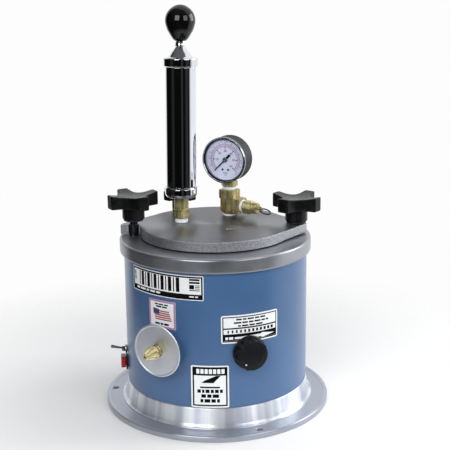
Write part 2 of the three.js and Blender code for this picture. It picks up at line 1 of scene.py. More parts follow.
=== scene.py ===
import json
import math
from math import cos, pi, radians, sin

import bmesh
import bpy
from mathutils import Matrix, Vector


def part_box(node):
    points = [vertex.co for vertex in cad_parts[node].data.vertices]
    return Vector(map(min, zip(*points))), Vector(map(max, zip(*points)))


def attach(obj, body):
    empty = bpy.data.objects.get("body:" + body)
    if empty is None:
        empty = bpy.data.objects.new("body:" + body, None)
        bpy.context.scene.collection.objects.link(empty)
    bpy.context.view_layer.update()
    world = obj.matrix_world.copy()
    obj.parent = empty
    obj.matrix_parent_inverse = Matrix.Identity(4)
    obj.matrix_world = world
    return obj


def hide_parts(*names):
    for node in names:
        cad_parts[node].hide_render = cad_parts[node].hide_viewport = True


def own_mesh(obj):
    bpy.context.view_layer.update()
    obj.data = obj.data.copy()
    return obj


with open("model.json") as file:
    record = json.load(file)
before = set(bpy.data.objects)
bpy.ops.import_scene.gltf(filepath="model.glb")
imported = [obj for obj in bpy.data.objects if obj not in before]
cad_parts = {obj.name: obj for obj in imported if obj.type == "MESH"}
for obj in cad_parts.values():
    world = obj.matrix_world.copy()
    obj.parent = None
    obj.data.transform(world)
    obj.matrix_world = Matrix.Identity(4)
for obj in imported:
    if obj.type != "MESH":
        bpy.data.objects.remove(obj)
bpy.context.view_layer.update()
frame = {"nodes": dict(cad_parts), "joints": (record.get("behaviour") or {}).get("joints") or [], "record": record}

MM = 0.001  # every shape below is written in millimetres, in the frame of the place that it stands in


# ---- Places, read from the frame ----
def centre_of(node):
    low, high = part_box(node)
    return (low + high) / 2


def joint_named(name):
    return next(joint for joint in frame["joints"] if joint["name"] == name)


def upright(node, from_base=False):
    """A frame with +Z up on the node's own axis, its origin at the ground or at the node's underside."""
    middle = centre_of(node)
    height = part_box(node)[0].z if from_base else 0
    return Matrix.Translation((middle.x, middle.y, height))


def leaning(node, joint):
    """An upright frame on a node's axis that leans as a joint's axis does."""
    middle = centre_of(node)
    axis = Vector(joint_named(joint)["axis"])
    turn = Vector((0, 0, 1)).rotation_difference(axis).to_matrix().to_4x4()
    return Matrix.Translation(middle) @ turn @ Matrix.Translation((0, 0, -middle.z))


def facing(node, axis=Matrix.Identity(4)):
    """A frame with +Z outwards through the node from an upright axis, and +Y up."""
    middle, origin = centre_of(node), axis.translation
    out = Vector((middle.x - origin.x, middle.y - origin.y, 0)).normalized()
    side = Vector((-out.y, out.x, 0))
    rows = Matrix((side, (0, 0, 1), out)).transposed().to_4x4()
    return Matrix.Translation((origin.x, origin.y, middle.z)) @ rows


def reach(node, place):
    """The node's largest radius about the place's +Z, and its lowest and highest point along it."""
    inverse = place.inverted()
    points = [(inverse @ v.co) / MM for v in frame["nodes"][node].data.vertices]
    heights = [p.z for p in points]
    return max(math.hypot(p.x, p.y) for p in points), min(heights), max(heights)


POT = Matrix.Identity(4)
PUMP = leaning("pump_tube", "pump_stroke")
TEE = upright("gauge_socket")
NOZZLE = facing("nozzle_shield")
THERMOSTAT = facing("temperature_knob")
TOGGLE = facing("toggle_nut")
LAMP = facing("lamp_lens")
GLAND = facing("cord_gland")
RELIEF = facing("relief_tape", TEE)
GAUGE = facing("gauge_bezel", TEE)
LEFT_KNOB = upright("left_washer", from_base=True)
RIGHT_KNOB = upright("right_washer", from_base=True)
VENT_KNOB = upright("vent_washer", from_base=True)


def linked(name, data):
    """An object in the scene for the data."""
    made = bpy.data.objects.new(name, data)
    bpy.context.scene.collection.objects.link(made)
    return made


# ---- Outlines ----
def rounded(points, closed=False, steps=5):
    """The outline, with each point that has a third value rounded to about that radius."""
    made = []
    for i, point in enumerate(points):
        here = Vector(point[:2])
        radius = point[2] if len(point) > 2 else 0
        ends = not closed and i in (0, len(points) - 1)
        if not radius or ends:
            made.append(here)
            continue
        before = Vector(points[i - 1][:2]) - here
        after = Vector(points[(i + 1) % len(points)][:2]) - here
        cut = radius / math.tan(before.angle(after) / 2)
        cut = min(cut, 0.49 * before.length, 0.49 * after.length)
        first, last = here + before.normalized() * cut, here + after.normalized() * cut
        for k in range(steps + 1):
            t = k / steps
            made.append(first * (1 - t) ** 2 + here * 2 * t * (1 - t) + last * t * t)
    return made


def smooth(points, steps=5):
    """A Catmull-Rom curve through the points."""
    knots = [Vector(p) for p in points]
    knots = [knots[0] * 2 - knots[1], *knots, knots[-1] * 2 - knots[-2]]
    made = []
    for a, b, c, d in zip(knots, knots[1:], knots[2:], knots[3:]):
        for k in range(steps):
            t = k / steps
            made.append((b * 2 + (c - a) * t + (a * 2 - b * 5 + c * 4 - d) * t * t
                         + (b * 3 - a - c * 3 + d) * t ** 3) / 2)
    return [tuple(p) for p in made] + [tuple(points[-1])]


def rectangle(width, height, corner=0.0, x=0.0, y=0.0):
    w, h = width / 2, height / 2
    corners = [(x - w, y - h), (x + w, y - h), (x + w, y + h), (x - w, y + h)]
    return rounded([(*p, corner) for p in corners], closed=True) if corner else corners


def flats(sides, across, turn=0.0, low=-1e9, high=1e9):
    """Cuts a turned shape to that many flats between two heights, for a hexagon or a square."""
    step = 2 * pi / sides

    def shape(angle, radius, height):
        if not low <= height <= high:
            return radius
        return min(radius, across / 2 / cos((angle - radians(turn)) % step - step / 2))
    return shape


def waves(count, depth, low=-1e9, high=1e9, power=1.0):
    """Cuts a turned shape with that many flutes between two heights."""
    def shape(angle, radius, height):
        if not low <= height <= high:
            return radius
        return radius - depth * (0.5 - 0.5 * cos(count * angle)) ** power
    return shape


def thread(pitch, depth, low, high):
    """Cuts a turned shape with a right-hand thread between two heights."""
    def shape(angle, radius, height):
        if not low <= height <= high:
            return radius
        return radius - depth * abs(((height / pitch - angle / (2 * pi)) % 1) * 2 - 1)
    return shape


def climb(radius, low, high, step):
    """Points up a straight side, close enough together for a thread or for flutes."""
    count = max(2, round((high - low) / step))
    return [(radius, low + (high - low) * i / count) for i in range(count + 1)]


# ---- Solids ----
def skin(rings, closed):
    """A closed mesh through rings of points. A ring of one point is a pole."""
    bm = bmesh.new()
    made = [[bm.verts.new(p) for p in ring] for ring in rings]
    pairs = list(zip(made, made[1:])) + ([(made[-1], made[0])] if closed else [])
    for a, b in pairs:
        count = max(len(a), len(b))
        for i in range(count):
            j = (i + 1) % count
            corners = [a[i % len(a)], a[j % len(a)], b[j % len(b)], b[i % len(b)]]
            corners = list(dict.fromkeys(corners))
            if len(corners) > 2:
                bm.faces.new(corners)
    bmesh.ops.recalc_face_normals(bm, faces=bm.faces)
    return bm


def lathe(profile, *shapes, segments=96):
    """A profile of (radius, height, round) points turned about +Z, then cut by the shapes."""
    outline = rounded(profile, closed=profile[0][0] > 0)
    rings = []
    for radius, height in outline:
        if radius < 1e-6:
            rings.append([(0, 0, height)])
            continue
        ring = []
        for i in range(segments):
            angle = 2 * pi * i / segments
            at = radius
            for shape in shapes:
                at = shape(angle, at, height)
            ring.append((at * cos(angle), at * sin(angle), height))
        rings.append(ring)
    return skin(rings, closed=profile[0][0] > 0)


def slab(outline, low, high, edge=0.0):
    """An outline raised from low to high, with its long edges bevelled."""
    bm = bmesh.new()
    base = bm.faces.new([bm.verts.new((x, y, low)) for x, y in outline])
    top = bmesh.ops.extrude_face_region(bm, geom=[base])["geom"]
    for v in (g for g in top if isinstance(g, bmesh.types.BMVert)):
        v.co.z = high
    bmesh.ops.recalc_face_normals(bm, faces=bm.faces)
    if edge:
        corners = [e for e in bm.edges if len(e.link_faces) == 2 and e.calc_face_angle() > radians(40)]
        bmesh.ops.bevel(bm, geom=corners, offset=edge, segments=3, profile=0.5, affect="EDGES",
                        clamp_overlap=True)
    return bm


def moved(bm, x=0.0, y=0.0, z=0.0, turn=0.0, axis="Z"):
    bm.transform(Matrix.Translation((x, y, z)) @ Matrix.Rotation(radians(turn), 4, axis))
    return bm


def seen_from(bm, place, new_place):
    """The same shape, written in another place's frame."""
    bm.transform(Matrix.Scale(1 / MM, 4) @ new_place.inverted() @ place @ Matrix.Scale(MM, 4))
    return bm


def together(*parts):
    """Separate solids in one mesh."""
    bm = parts[0]
    for other in parts[1:]:
        held = bpy.data.meshes.new("held")
        other.to_mesh(held)
        bm.from_mesh(held)
        bpy.data.meshes.remove(held)
    return bm


def boolean(bm, operation, *tools):
    """The shape joined to, or cut by, each of the tools."""
    for tool in tools:
        pair = []
        for solid in (bm, tool):
            mesh = bpy.data.meshes.new("solid")
            solid.to_mesh(mesh)
            pair.append(linked("solid", mesh))
        modifier = pair[0].modifiers.new("cut", "BOOLEAN")
        modifier.operation, modifier.solver, modifier.object = operation, "EXACT", pair[1]
        graph = bpy.context.evaluated_depsgraph_get()
        result = bpy.data.meshes.new_from_object(pair[0].evaluated_get(graph), depsgraph=graph)
        bm = bmesh.new()
        bm.from_mesh(result)
        for solid in pair:
            bpy.data.objects.remove(solid)
        bpy.data.meshes.remove(result)
    return bm


def cut(bm, *tools):
    return boolean(bm, "DIFFERENCE", *tools)


def tube(points, radius, sides=12, closed=False):
    """A round rod along a path."""
    path = [Vector(p) for p in points]
    count = len(path)
    rings = []
    normal = None
    for i, here in enumerate(path):
        before = path[i - 1] if i or closed else here
        after = path[(i + 1) % count] if closed or i < count - 1 else here
        along = (after - before).normalized()
        if normal is None:
            normal = along.orthogonal()
        normal = (normal - along * normal.dot(along)).normalized()
        across = along.cross(normal)
        rings.append([here + (normal * cos(2 * pi * k / sides) + across * sin(2 * pi * k / sides)) * radius
                      for k in range(sides)])
    if not closed:
        rings = [[path[0]], *rings, [path[-1]]]
    return skin(rings, closed)


# ---- Pieces ----
def finish_mesh(bm, place, name, sharp):
    """A mesh in metres in the row frame. Its attribute "local" keeps each point's place in millimetres."""
    for edge in bm.edges:
        edge.smooth = len(edge.link_faces) == 2 and edge.calc_face_angle() < radians(sharp)
    for face in bm.faces:
        face.smooth = True
    mesh = bpy.data.meshes.new(name)
    bm.to_mesh(mesh)
    local = mesh.attributes.new("local", "FLOAT_VECTOR", "POINT")
    local.data.foreach_set("vector", [c for v in mesh.vertices for c in v.co])
    mesh.transform(place @ Matrix.Scale(MM, 4))
    return mesh


def piece(name, bm, place, material, body, slot=None, stands_for=(), sharp=32):
    """A finished piece that rides on a body, and stands for the CAD nodes that it replaces."""
    made = linked(name, finish_mesh(bm, place, name, sharp))
    made.data.materials.append(material)
    weighted = made.modifiers.new("even normals", "WEIGHTED_NORMAL")
    weighted.keep_sharp = True
    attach(made, body)
    if stands_for:
        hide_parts(*stands_for)
    return made


SLOTS = {part["node"]: part["material_slot"] for part in frame["record"]["subparts"]}
BODY_OF = {node: body for body, nodes in frame["record"]["behaviour"]["bodies"].items() for node in nodes}


def finished(node, bm, place, material, sharp=32):
    """The piece that stands for one CAD node, on its body."""
    return piece(node + "_detail", bm, place, material, BODY_OF[node], SLOTS[node], (node,), sharp)


# ---- Materials ----
class Nodes:
    """A node tree in the making. Calling it adds a node, with sockets or values for its inputs."""

    def __init__(self, owner):
        owner.use_nodes = True
        self.tree = owner.node_tree
        self.tree.nodes.clear()

    def __call__(self, kind, inputs=None, **settings):
        node = self.tree.nodes.new(kind)
        for key, value in settings.items():
            setattr(node, key, value)
        for key, value in (inputs or {}).items():
            if isinstance(value, bpy.types.NodeSocket):
                self.tree.links.new(value, node.inputs[key])
            else:
                node.inputs[key].default_value = value
        return node

    def vector(self, operation, *values, output=0):
        return self("ShaderNodeVectorMath", dict(enumerate(values)), operation=operation).outputs[output]

    def ramp(self, value, low, high, to_low=0.0, to_high=1.0, **settings):
        """The value, taken from one range to another, with its ends held."""
        return self("ShaderNodeMapRange", {"Value": value, "From Min": low, "From Max": high,
                                           "To Min": to_low, "To Max": to_high},
                    **settings).outputs["Result"]


class Shading(Nodes):
    """A material in the making."""

    def __init__(self, name):
        self.material = bpy.data.materials.new(name)
        super().__init__(self.material)
        self.local = self("ShaderNodeAttribute", attribute_name="local").outputs["Vector"]

    def maths(self, operation, *values):
        return self("ShaderNodeMath", dict(enumerate(values)), operation=operation).outputs[0]

    def noise(self, scale, detail=3.0, stretch=(1, 1, 1), at=None, roughness=0.55):
        """Noise whose grain is about 1/scale millimetres."""
        spot = self.vector("MULTIPLY", at or self.local, stretch)
        return self("ShaderNodeTexNoise", {"Vector": spot, "Scale": scale, "Detail": detail,
                                           "Roughness": roughness}).outputs["Fac"]

    def blend(self, share, first, second):
        """One colour turning into another."""
        colours = [(*c, 1) if isinstance(c, tuple) else c for c in (first, second)]
        return self("ShaderNodeMix", dict(zip((0, 6, 7), (share, *colours))), data_type="RGBA").outputs[2]

    def axis_parts(self):
        """The distance from the place's own axis, and the height along it."""
        radius = self.vector("LENGTH", self.flattened(), output="Value")
        return radius, self("ShaderNodeSeparateXYZ", {0: self.local}).outputs["Z"]

    def flattened(self):
        """The place with its height left out."""
        return self.vector("MULTIPLY", self.local, (1, 1, 0))

    def turning(self, scale):
        """Fine rings left by a lathe tool, round the axis on faces and sides alike."""
        radius, height = self.axis_parts()
        along = self.maths("ADD", radius, self.maths("MULTIPLY", height, 1.31))
        return self("ShaderNodeTexNoise", {"W": along, "Scale": scale, "Detail": 5.0, "Roughness": 0.7},
                    noise_dimensions="1D").outputs["Fac"]

    def bump(self, height, distance):
        """A normal raised by the height, with the distance in millimetres."""
        return self("ShaderNodeBump", {"Height": height, "Distance": distance * MM,
                                       "Strength": 1.0}).outputs["Normal"]

    def tangent(self):
        """The direction round the piece's own upright axis, for the grain of turned metal."""
        return self("ShaderNodeTangent", direction_type="RADIAL", axis="Z").outputs["Tangent"]

    def principled(self, **inputs):
        """Ends the material with a Principled shader. Underscores in a name stand for spaces."""
        named = {key.replace("_", " "): value for key, value in inputs.items()}
        for key, value in named.items():
            if isinstance(value, tuple):
                named[key] = (*value, 1)
        shader = self("ShaderNodeBsdfPrincipled", named)
        self("ShaderNodeOutputMaterial", {"Surface": shader.outputs[0]})
        return self.material


FOOT_PAINTED_SHADE = 0.7  # how much darker the foot's colour is painted than the turned metal above it: painted shade for the flat's dim reflection


def turned_metal(name, colour, dark, roughness, grain=2.2, marks=0.02, anisotropy=0.0, depth=0.006,
                 metal=1.0, painted_streak_share=0.0, foot=None):
    """Turned metal: rings from the tool, cloudy stains, and painted reflection streaks that run across the rings.

    Below the height of its foot its colour is painted darker: painted shade for the flat's dim reflection."""
    s = Shading(name)
    rings = s.turning(grain)
    clouds = s.noise(0.04, 2)
    # painted reflection: tone streaks by azimuth stand in for the radial highlights of spun metal
    painted_streaks = s.noise(6.5, 2, at=s.vector("NORMALIZE", s.flattened()))
    tone = s.maths("ADD", s.maths("MULTIPLY", rings, 0.5), s.maths("MULTIPLY", clouds, 0.5))
    tone = s.maths("ADD", tone, s.maths("MULTIPLY", s.ramp(painted_streaks, 0.3, 0.7, -0.5, 0.5), painted_streak_share))
    tone = s.ramp(tone, 0.2, 0.8)
    rough = s.maths("ADD", s.ramp(clouds, 0.3, 0.7, roughness - marks, roughness + marks),
                    s.ramp(rings, 0.3, 0.7, -marks, marks))
    skin_colour = s.blend(tone, dark, colour)
    if foot:
        # painted shade: below the foot's height the colour is blended towards a darker tone
        foot_painted_shade = s.ramp(s.axis_parts()[1], foot, foot + 0.8)
        skin_colour = s.blend(foot_painted_shade, tuple(FOOT_PAINTED_SHADE * c for c in dark), skin_colour)
    inputs = {"Base_Color": skin_colour, "Metallic": metal, "Roughness": rough,
              "Normal": s.bump(rings, depth)}
    if anisotropy:
        inputs |= {"Anisotropic": anisotropy, "Anisotropic_Rotation": 0.25, "Tangent": s.tangent()}
    return s.principled(**inputs)


def cast_metal(name, colour, dark):
    """Cast aluminium: pebbled by the mould at its sides, and dull where its flat face was turned."""
    s = Shading(name)
    upward = s("ShaderNodeSeparateXYZ", {0: s("ShaderNodeNewGeometry").outputs["Normal"]}).outputs["Z"]
    machined = s.ramp(s.maths("ABSOLUTE", upward), 0.9, 0.98)
    pebbles = s.noise(1.1, 4, roughness=0.6)
    pits = s.ramp(s.noise(0.35, 6), 0.62, 0.7)
    rings = s.turning(1.6)
    clouds = s.noise(0.03, 5)
    tone = s.blend(s.ramp(clouds, 0.35, 0.68), dark, colour)
    side = s.blend(s.ramp(pebbles, 0.35, 0.62), tuple(0.9 * c for c in colour),
                   tuple(2.1 * c for c in colour))
    rough = s.maths("ADD", s.ramp(machined, 0, 1, 0.5, 0.36), s.ramp(clouds, 0.3, 0.7, -0.04, 0.04))
    cast_skin = s.bump(s.maths("SUBTRACT", pebbles, s.maths("MULTIPLY", pits, 0.6)), 0.5)
    turned_face = s.bump(rings, 0.012)
    normal = s("ShaderNodeMix", {0: machined, 4: cast_skin, 5: turned_face}, data_type="VECTOR")
    return s.principled(Base_Color=s.blend(machined, side, tone), Metallic=0.8, Roughness=rough,
                        Normal=normal.outputs[1], Anisotropic=0.75, Anisotropic_Rotation=0.25,
                        Tangent=s.tangent())


def brass_metal(name, colour, dark, roughness=0.24):
    """Brass fittings: drawn bar with streaks along it, tarnish in clouds and fine scratches."""
    s = Shading(name)
    streaks = s.noise(0.85, 4, stretch=(1, 1, 0.05))
    clouds = s.noise(0.14, 5)
    scratches = s.ramp(s.noise(0.9, 8, stretch=(0.15, 0.15, 2.5)), 0.62, 0.74)
    tone = s.maths("ADD", s.maths("MULTIPLY", streaks, 0.75), s.maths("MULTIPLY", clouds, 0.45))
    rough = s.maths("ADD", s.ramp(clouds, 0.3, 0.7, roughness - 0.07, roughness + 0.09),
                    s.maths("MULTIPLY", scratches, 0.12))
    return s.principled(Base_Color=s.blend(s.ramp(tone, 0.48, 0.7), dark, colour), Metallic=0.65,
                        Roughness=rough, Normal=s.bump(s.maths("ADD", streaks, scratches), 0.012))


def chrome_plate(name, colour=(0.86, 0.87, 0.9), roughness=0.05):
    """Polished chrome, with faint smears and a slight ripple."""
    s = Shading(name)
    smears = s.noise(0.05, 6, stretch=(1, 1, 0.3))
    specks = s.ramp(s.noise(1.4, 4), 0.7, 0.78)
    rough = s.maths("ADD", s.ramp(smears, 0.35, 0.7, roughness * 0.5, roughness * 1.9),
                    s.maths("MULTIPLY", specks, 0.1))
    tone = s.blend(s.ramp(smears, 0.3, 0.7), colour, tuple(0.9 * c for c in colour))
    return s.principled(Base_Color=tone, Metallic=1.0, Roughness=rough,
                        Normal=s.bump(s.noise(0.09, 2), 0.02))


def paint(name, colour, worn, edges=()):
    """Stoved paint with orange peel, uneven gloss, and small chips near the heights of its edges."""
    s = Shading(name)
    clouds = s.noise(0.012, 5)
    peel = s.noise(0.75, 3)
    dust = s.ramp(s.noise(2.2, 3), 0.71, 0.78)
    base = s.blend(s.ramp(clouds, 0.3, 0.72), tuple(0.88 * c for c in colour),
                   tuple(1.1 * c for c in colour))
    height = s("ShaderNodeSeparateXYZ", {0: s.local}).outputs["Z"]
    chips = 0.0
    for edge in edges:
        near = s.ramp(s.maths("ABSOLUTE", s.maths("SUBTRACT", height, edge)), 0, 3.2, 0.34, 0)
        chips = s.maths("ADD", chips, near)
    if edges:
        chips = s.ramp(s.maths("ADD", chips, s.noise(0.22, 7, roughness=0.7)), 0.86, 0.9)
        base = s.blend(chips, base, worn)
    rough = s.maths("ADD", s.ramp(clouds, 0.3, 0.7, 0.27, 0.38), s.maths("MULTIPLY", dust, 0.25))
    return s.principled(Base_Color=base, Metallic=0.0, Roughness=rough, Coat_Weight=0.25,
                        Coat_Roughness=0.12, Normal=s.bump(s.maths("ADD", peel,
                                                                   s.maths("MULTIPLY", dust, 0.3)), 0.035))


def moulding(name, colour, roughness=0.34, grain=0.05, shine=0.25):
    """Moulded plastic or rubber: a fine skin, faint flow marks, and dust that dulls it in places."""
    s = Shading(name)
    flow = s.noise(0.1, 5)
    fine = s.noise(1.9, 3)
    dust = s.ramp(s.noise(0.9, 8, roughness=0.7), 0.62, 0.85)
    lighter = tuple(min(1.0, c * 1.5 + 0.003) for c in colour)
    base = s.blend(s.maths("MULTIPLY", dust, 0.3), s.blend(s.ramp(flow, 0.35, 0.7), colour, lighter),
                   tuple(c + 0.01 for c in lighter))
    rough = s.maths("ADD", s.ramp(flow, 0.3, 0.7, roughness - 0.06, roughness + 0.06),
                    s.maths("MULTIPLY", dust, 0.08))
    return s.principled(Base_Color=base, Roughness=rough, Specular_IOR_Level=shine,
                        Normal=s.bump(fine, grain))


def printed(name, colour, roughness=0.45, shine=0.3):
    """Label stock or ink, faintly mottled."""
    s = Shading(name)
    mottle = s.noise(0.5, 6)
    base = s.blend(s.ramp(mottle, 0.3, 0.75), tuple(0.93 * c for c in colour),
                   tuple(min(1.0, 1.04 * c) for c in colour))
    return s.principled(Base_Color=base, Roughness=s.ramp(mottle, 0.3, 0.7, roughness - 0.08,
                                                          roughness + 0.08),
                        Specular_IOR_Level=shine, Normal=s.bump(s.noise(1.4, 3), 0.012))


def fibre(name, colour, dark, scale=0.8):
    """Matted fibre, or the wraps of thread-seal tape."""
    s = Shading(name)
    wraps = s.noise(scale, 5, stretch=(0.25, 0.25, 2.2))
    fuzz = s.noise(3.5, 4)
    return s.principled(Base_Color=s.blend(s.ramp(wraps, 0.3, 0.65), dark, colour), Roughness=0.72,
                        Sheen_Weight=0.2, Normal=s.bump(s.maths("ADD", wraps,
                                                                s.maths("MULTIPLY", fuzz, 0.4)), 0.2))


GLASS_IOR = 1.45


def clear_window(name):
    """A clear window: it shows what is behind it, and its gloss grows towards grazing angles."""
    s = Shading(name)
    smudge = s.ramp(s.noise(0.12, 5), 0.4, 0.75, 0.02, 0.09)
    gloss = s("ShaderNodeBsdfGlossy", {"Color": (1, 1, 1, 1), "Roughness": smudge}).outputs[0]
    clear = s("ShaderNodeBsdfTransparent", {"Color": (0.97, 0.98, 1, 1)}).outputs[0]
    inside = s("ShaderNodeNewGeometry").outputs["Backfacing"]
    edge = s.maths("MULTIPLY", s("ShaderNodeFresnel", {"IOR": GLASS_IOR}).outputs[0],
                   s.maths("SUBTRACT", 1, inside))
    mixed = s("ShaderNodeMixShader", {0: edge, 1: clear, 2: gloss}).outputs[0]
    s("ShaderNodeOutputMaterial", {"Surface": mixed})
    return s.material


def lamp_plastic(name, colour, deep):
    """Red plastic, ribbed across, with painted shade that darkens its top and bottom."""
    s = Shading(name)
    ribs = s("ShaderNodeTexWave", {"Vector": s.local, "Scale": 0.5, "Distortion": 0.4, "Detail": 1.0},
             bands_direction="Y", wave_profile="SIN").outputs["Fac"]
    height = s("ShaderNodeSeparateXYZ", {0: s.local}).outputs["Y"]
    # painted shade: the red is darker towards the lens's top and bottom, lighter in its middle
    middle = s.ramp(s.maths("ABSOLUTE", height), 3.2, 5.6, 1, 0)
    glow = s.blend(s.maths("MULTIPLY", middle, s.ramp(ribs, 0.1, 0.9, 0.55, 1)), deep, colour)
    return s.principled(Base_Color=glow, Roughness=s.ramp(s.noise(0.8, 4), 0.3, 0.7, 0.08, 0.2), IOR=1.49,
                        Transmission_Weight=0.15, Emission_Color=(0.5, 0.01, 0.012), Emission_Strength=0.1,
                        Normal=s.bump(ribs, 0.1))


# the spun aluminium carries painted reflection streaks and painted shade below its foot
spun = turned_metal("spun_aluminium", (0.93, 0.96, 1.0), (0.56, 0.6, 0.69), 0.34, anisotropy=0.85, metal=0.7,
                    painted_streak_share=1.0, foot=6.7)
polished = turned_metal("dull_aluminium", (0.88, 0.91, 0.97), (0.72, 0.75, 0.82), 0.45, anisotropy=0.3)
cast = cast_metal("cast_aluminium", (0.215, 0.22, 0.237), (0.155, 0.16, 0.178))
ring_metal = turned_metal("turned_flange", (0.4, 0.41, 0.44), (0.27, 0.28, 0.31), 0.36, marks=0.05,
                          anisotropy=0.5, metal=0.85)
tank_metal = turned_metal("spun_tank", (0.62, 0.63, 0.65), (0.5, 0.51, 0.53), 0.38, marks=0.05,
                          anisotropy=0.4)
plated = turned_metal("plated_steel", (0.42, 0.43, 0.45), (0.26, 0.27, 0.29), 0.34, grain=4, marks=0.05)
stud_steel = turned_metal("oiled_steel", (0.09, 0.09, 0.1), (0.04, 0.04, 0.05), 0.38, grain=4, marks=0.05)
nickel = turned_metal("dark_nickel", (0.3, 0.3, 0.31), (0.16, 0.16, 0.17), 0.2, grain=4, marks=0.04)
brass = brass_metal("brass", (0.66, 0.58, 0.3), (0.24, 0.2, 0.08), 0.3)
dull_brass = brass_metal("tarnished_brass", (0.58, 0.49, 0.25), (0.2, 0.155, 0.06), 0.42)
bright_brass = brass_metal("bright_brass", (0.86, 0.77, 0.47), (0.6, 0.5, 0.24), 0.18)
chrome = chrome_plate("chrome")
bezel_chrome = chrome_plate("worn_chrome", (0.5, 0.51, 0.53), 0.12)
blue = paint("blue_paint", (0.06, 0.14, 0.3), (0.33, 0.34, 0.36), edges=(27.4, 180.3))
grey = moulding("grey_enamel", (0.034, 0.037, 0.042), 0.5, grain=0.02, shine=0.2)
black = moulding("black_phenolic", (0.0045, 0.0045, 0.005), 0.3)
satin_black = moulding("satin_black", (0.003, 0.0036, 0.005), 0.38, shine=0.2)
black_gloss = moulding("black_knob", (0.002, 0.0015, 0.0015), 0.08, grain=0.004, shine=0.4)
rubber = moulding("black_rubber", (0.012, 0.012, 0.012), 0.7, grain=0.12, shine=0.1)
brown = moulding("phenolic_board", (0.03, 0.02, 0.015), 0.5)
stock = printed("white_label", (0.93, 0.95, 0.98))
ink = printed("black_ink", (0.005, 0.005, 0.006), 0.6, shine=0.05)
red_ink = printed("red_ink", (0.42, 0.06, 0.075))
blue_ink = printed("dark_blue_ink", (0.06, 0.06, 0.16))
pink_ink = printed("pink_ink", (0.5, 0.28, 0.42))
dial_face = printed("dial_face", (0.84, 0.86, 1.0), 0.35)
dial_red = printed("dial_red", (0.42, 0.2, 0.38))
dial_rim = printed("dial_rim", (0.3, 0.32, 0.4), 0.5)
tape = fibre("seal_tape", (0.9, 0.92, 0.95), (0.72, 0.74, 0.78))
wool = fibre("mineral_wool", (0.55, 0.46, 0.26), (0.3, 0.24, 0.13), 0.5)
window = clear_window("clear_window")
red_plastic = lamp_plastic("red_lamp", (0.5, 0.006, 0.01), (0.1, 0.001, 0.003))


# ---- The base, the casing and the tank ----
def drill(radius, low, high, x=0.0, y=0.0):
    return moved(lathe([(0, low), (radius, low), (radius, high), (0, high)], segments=32), x, y)


def screw_head(radius, height):
    """A domed screw head with its driver slot, standing on z = 0."""
    head = lathe([(0, -1), (radius, -1), (radius, height * 0.35, 0.3), (radius * 0.7, height, 1.5),
                  (0, height)],
                 segments=40)
    return cut(head, slab(rectangle(radius * 3, radius * 0.3), height * 0.45, height + 2))


def build_base():
    rim, low, high = reach("base_flange", POT)
    casing = reach("outer_casing", POT)[0]
    flat = 6.3
    body = lathe([
        (casing - 6.6, low), (rim, low, 1.2), (rim, 6.8, 2.2), (rim - 4.4, 6.8, 0.4), (rim - 4.8, flat, 0.4),
        (casing + 7.2, flat, 0.4), (casing + 6.6, flat + 1, 0.5), (casing + 5.4, flat + 1, 0.6),
        (casing + 3.4, 9.4, 6), (casing + 0.1, 27.1, 1.2), (casing - 2.1, 27.1), (casing - 2.1, high),
        (casing - 3.8, high), (casing + 1.4, 9), (casing + 1.4, 4), (casing - 6.6, 4),
    ], segments=192)
    bores = [o["box_m"] for o in frame["record"]["physics"]["openings"]
             if o["name"].startswith("base_bolt_hole")]
    tools = []
    for box_low, box_high in bores:
        x, y = ((box_low[i] + box_high[i]) / 2 / MM for i in (0, 1))
        hole = lathe([(0, -1), (3.4, -1), (3.4, flat - 0.5), (4, flat + 0.2), (4, 9), (0, 9)], segments=40)
        tools.append(moved(hole, x, y))
    finished("base_flange", cut(body, *tools), POT, spun)


def build_casing():
    radius, low, high = reach("outer_casing", POT)
    shell = lathe([(radius - 1.4, low, 0.3), (radius, low, 0.7), (radius, high, 0.7),
                   (radius - 1.4, high, 0.3)],
                  segments=192)
    bores = [seen_from(drill(bore, 96, 106), place, POT)
             for place, bore in ((NOZZLE, 6.4), (THERMOSTAT, 4), (TOGGLE, 3.4), (GLAND, 6.6))]
    lamp_hole = seen_from(slab(rectangle(13, 13), 96, 106), LAMP, POT)
    finished("outer_casing", cut(shell, *bores, lamp_hole), POT, blue)
    rim, low, high = reach("top_flange", POT)
    ring = lathe([
        (75.2, low), (97, low), (97, 175), (99.6, 175), (99.6, low), (rim, low, 4.5), (rim, high, 3),
        (82.7, high, 0.3), (82.7, 188.2), (77.2, 188.2), (77.2, high, 0.3), (75.2, high, 0.3),
    ], segments=192)
    studs = [centre_of(node).x / MM for node in ("left_stud", "right_stud")]
    finished("top_flange", cut(ring, *(drill(5.1, 183, 195, x) for x in studs)), POT, ring_metal)
    outer, low, high = reach("tank", POT)
    pot = lathe([
        (0, low), (outer, low, 11), (outer, high, 0.5), (outer - 2, high, 0.5), (outer - 2, low + 2, 9),
        (0, low + 2),
    ], segments=160)
    hole = seen_from(drill(6.4, 60, 90), NOZZLE, POT)
    finished("tank", cut(pot, hole), POT, tank_metal)
    seal, low, high = reach("lid_gasket", POT)
    cord = lathe([(seal - 4.7, low, 0.8), (seal, low, 0.8), (seal, high, 1.6), (seal - 4.7, high, 1.6)],
                 segments=160)
    finished("lid_gasket", cord, POT, rubber)


def build_stud(node):
    place = upright(node)
    radius, low, high = reach(node, place)
    profile = [(0, low), (radius, low), (radius, 192), *climb(radius, 192.5, high - 1.2, 0.26),
               (radius - 1, high, 0.3), (0, high)]
    finished(node, lathe(profile, thread(1.5875, 0.75, 193, high - 1.3), segments=48), place, stud_steel)


# ---- Knobs and washers ----
def star_outline(arm, scale):
    """A four-armed outline with rounded tips and concave webs."""
    half, end, web, tip = 9.4 * scale, 6.3 * scale, 13 * scale, 2.6 * scale
    points = []
    for k in range(4):
        c, s = cos(k * pi / 2), sin(k * pi / 2)
        for along, across, round_to in ((half, -half, web), (arm, -end, tip), (arm, end, tip)):
            points.append((along * c - across * s, along * s + across * c, round_to))
    return rounded(points, closed=True, steps=9)


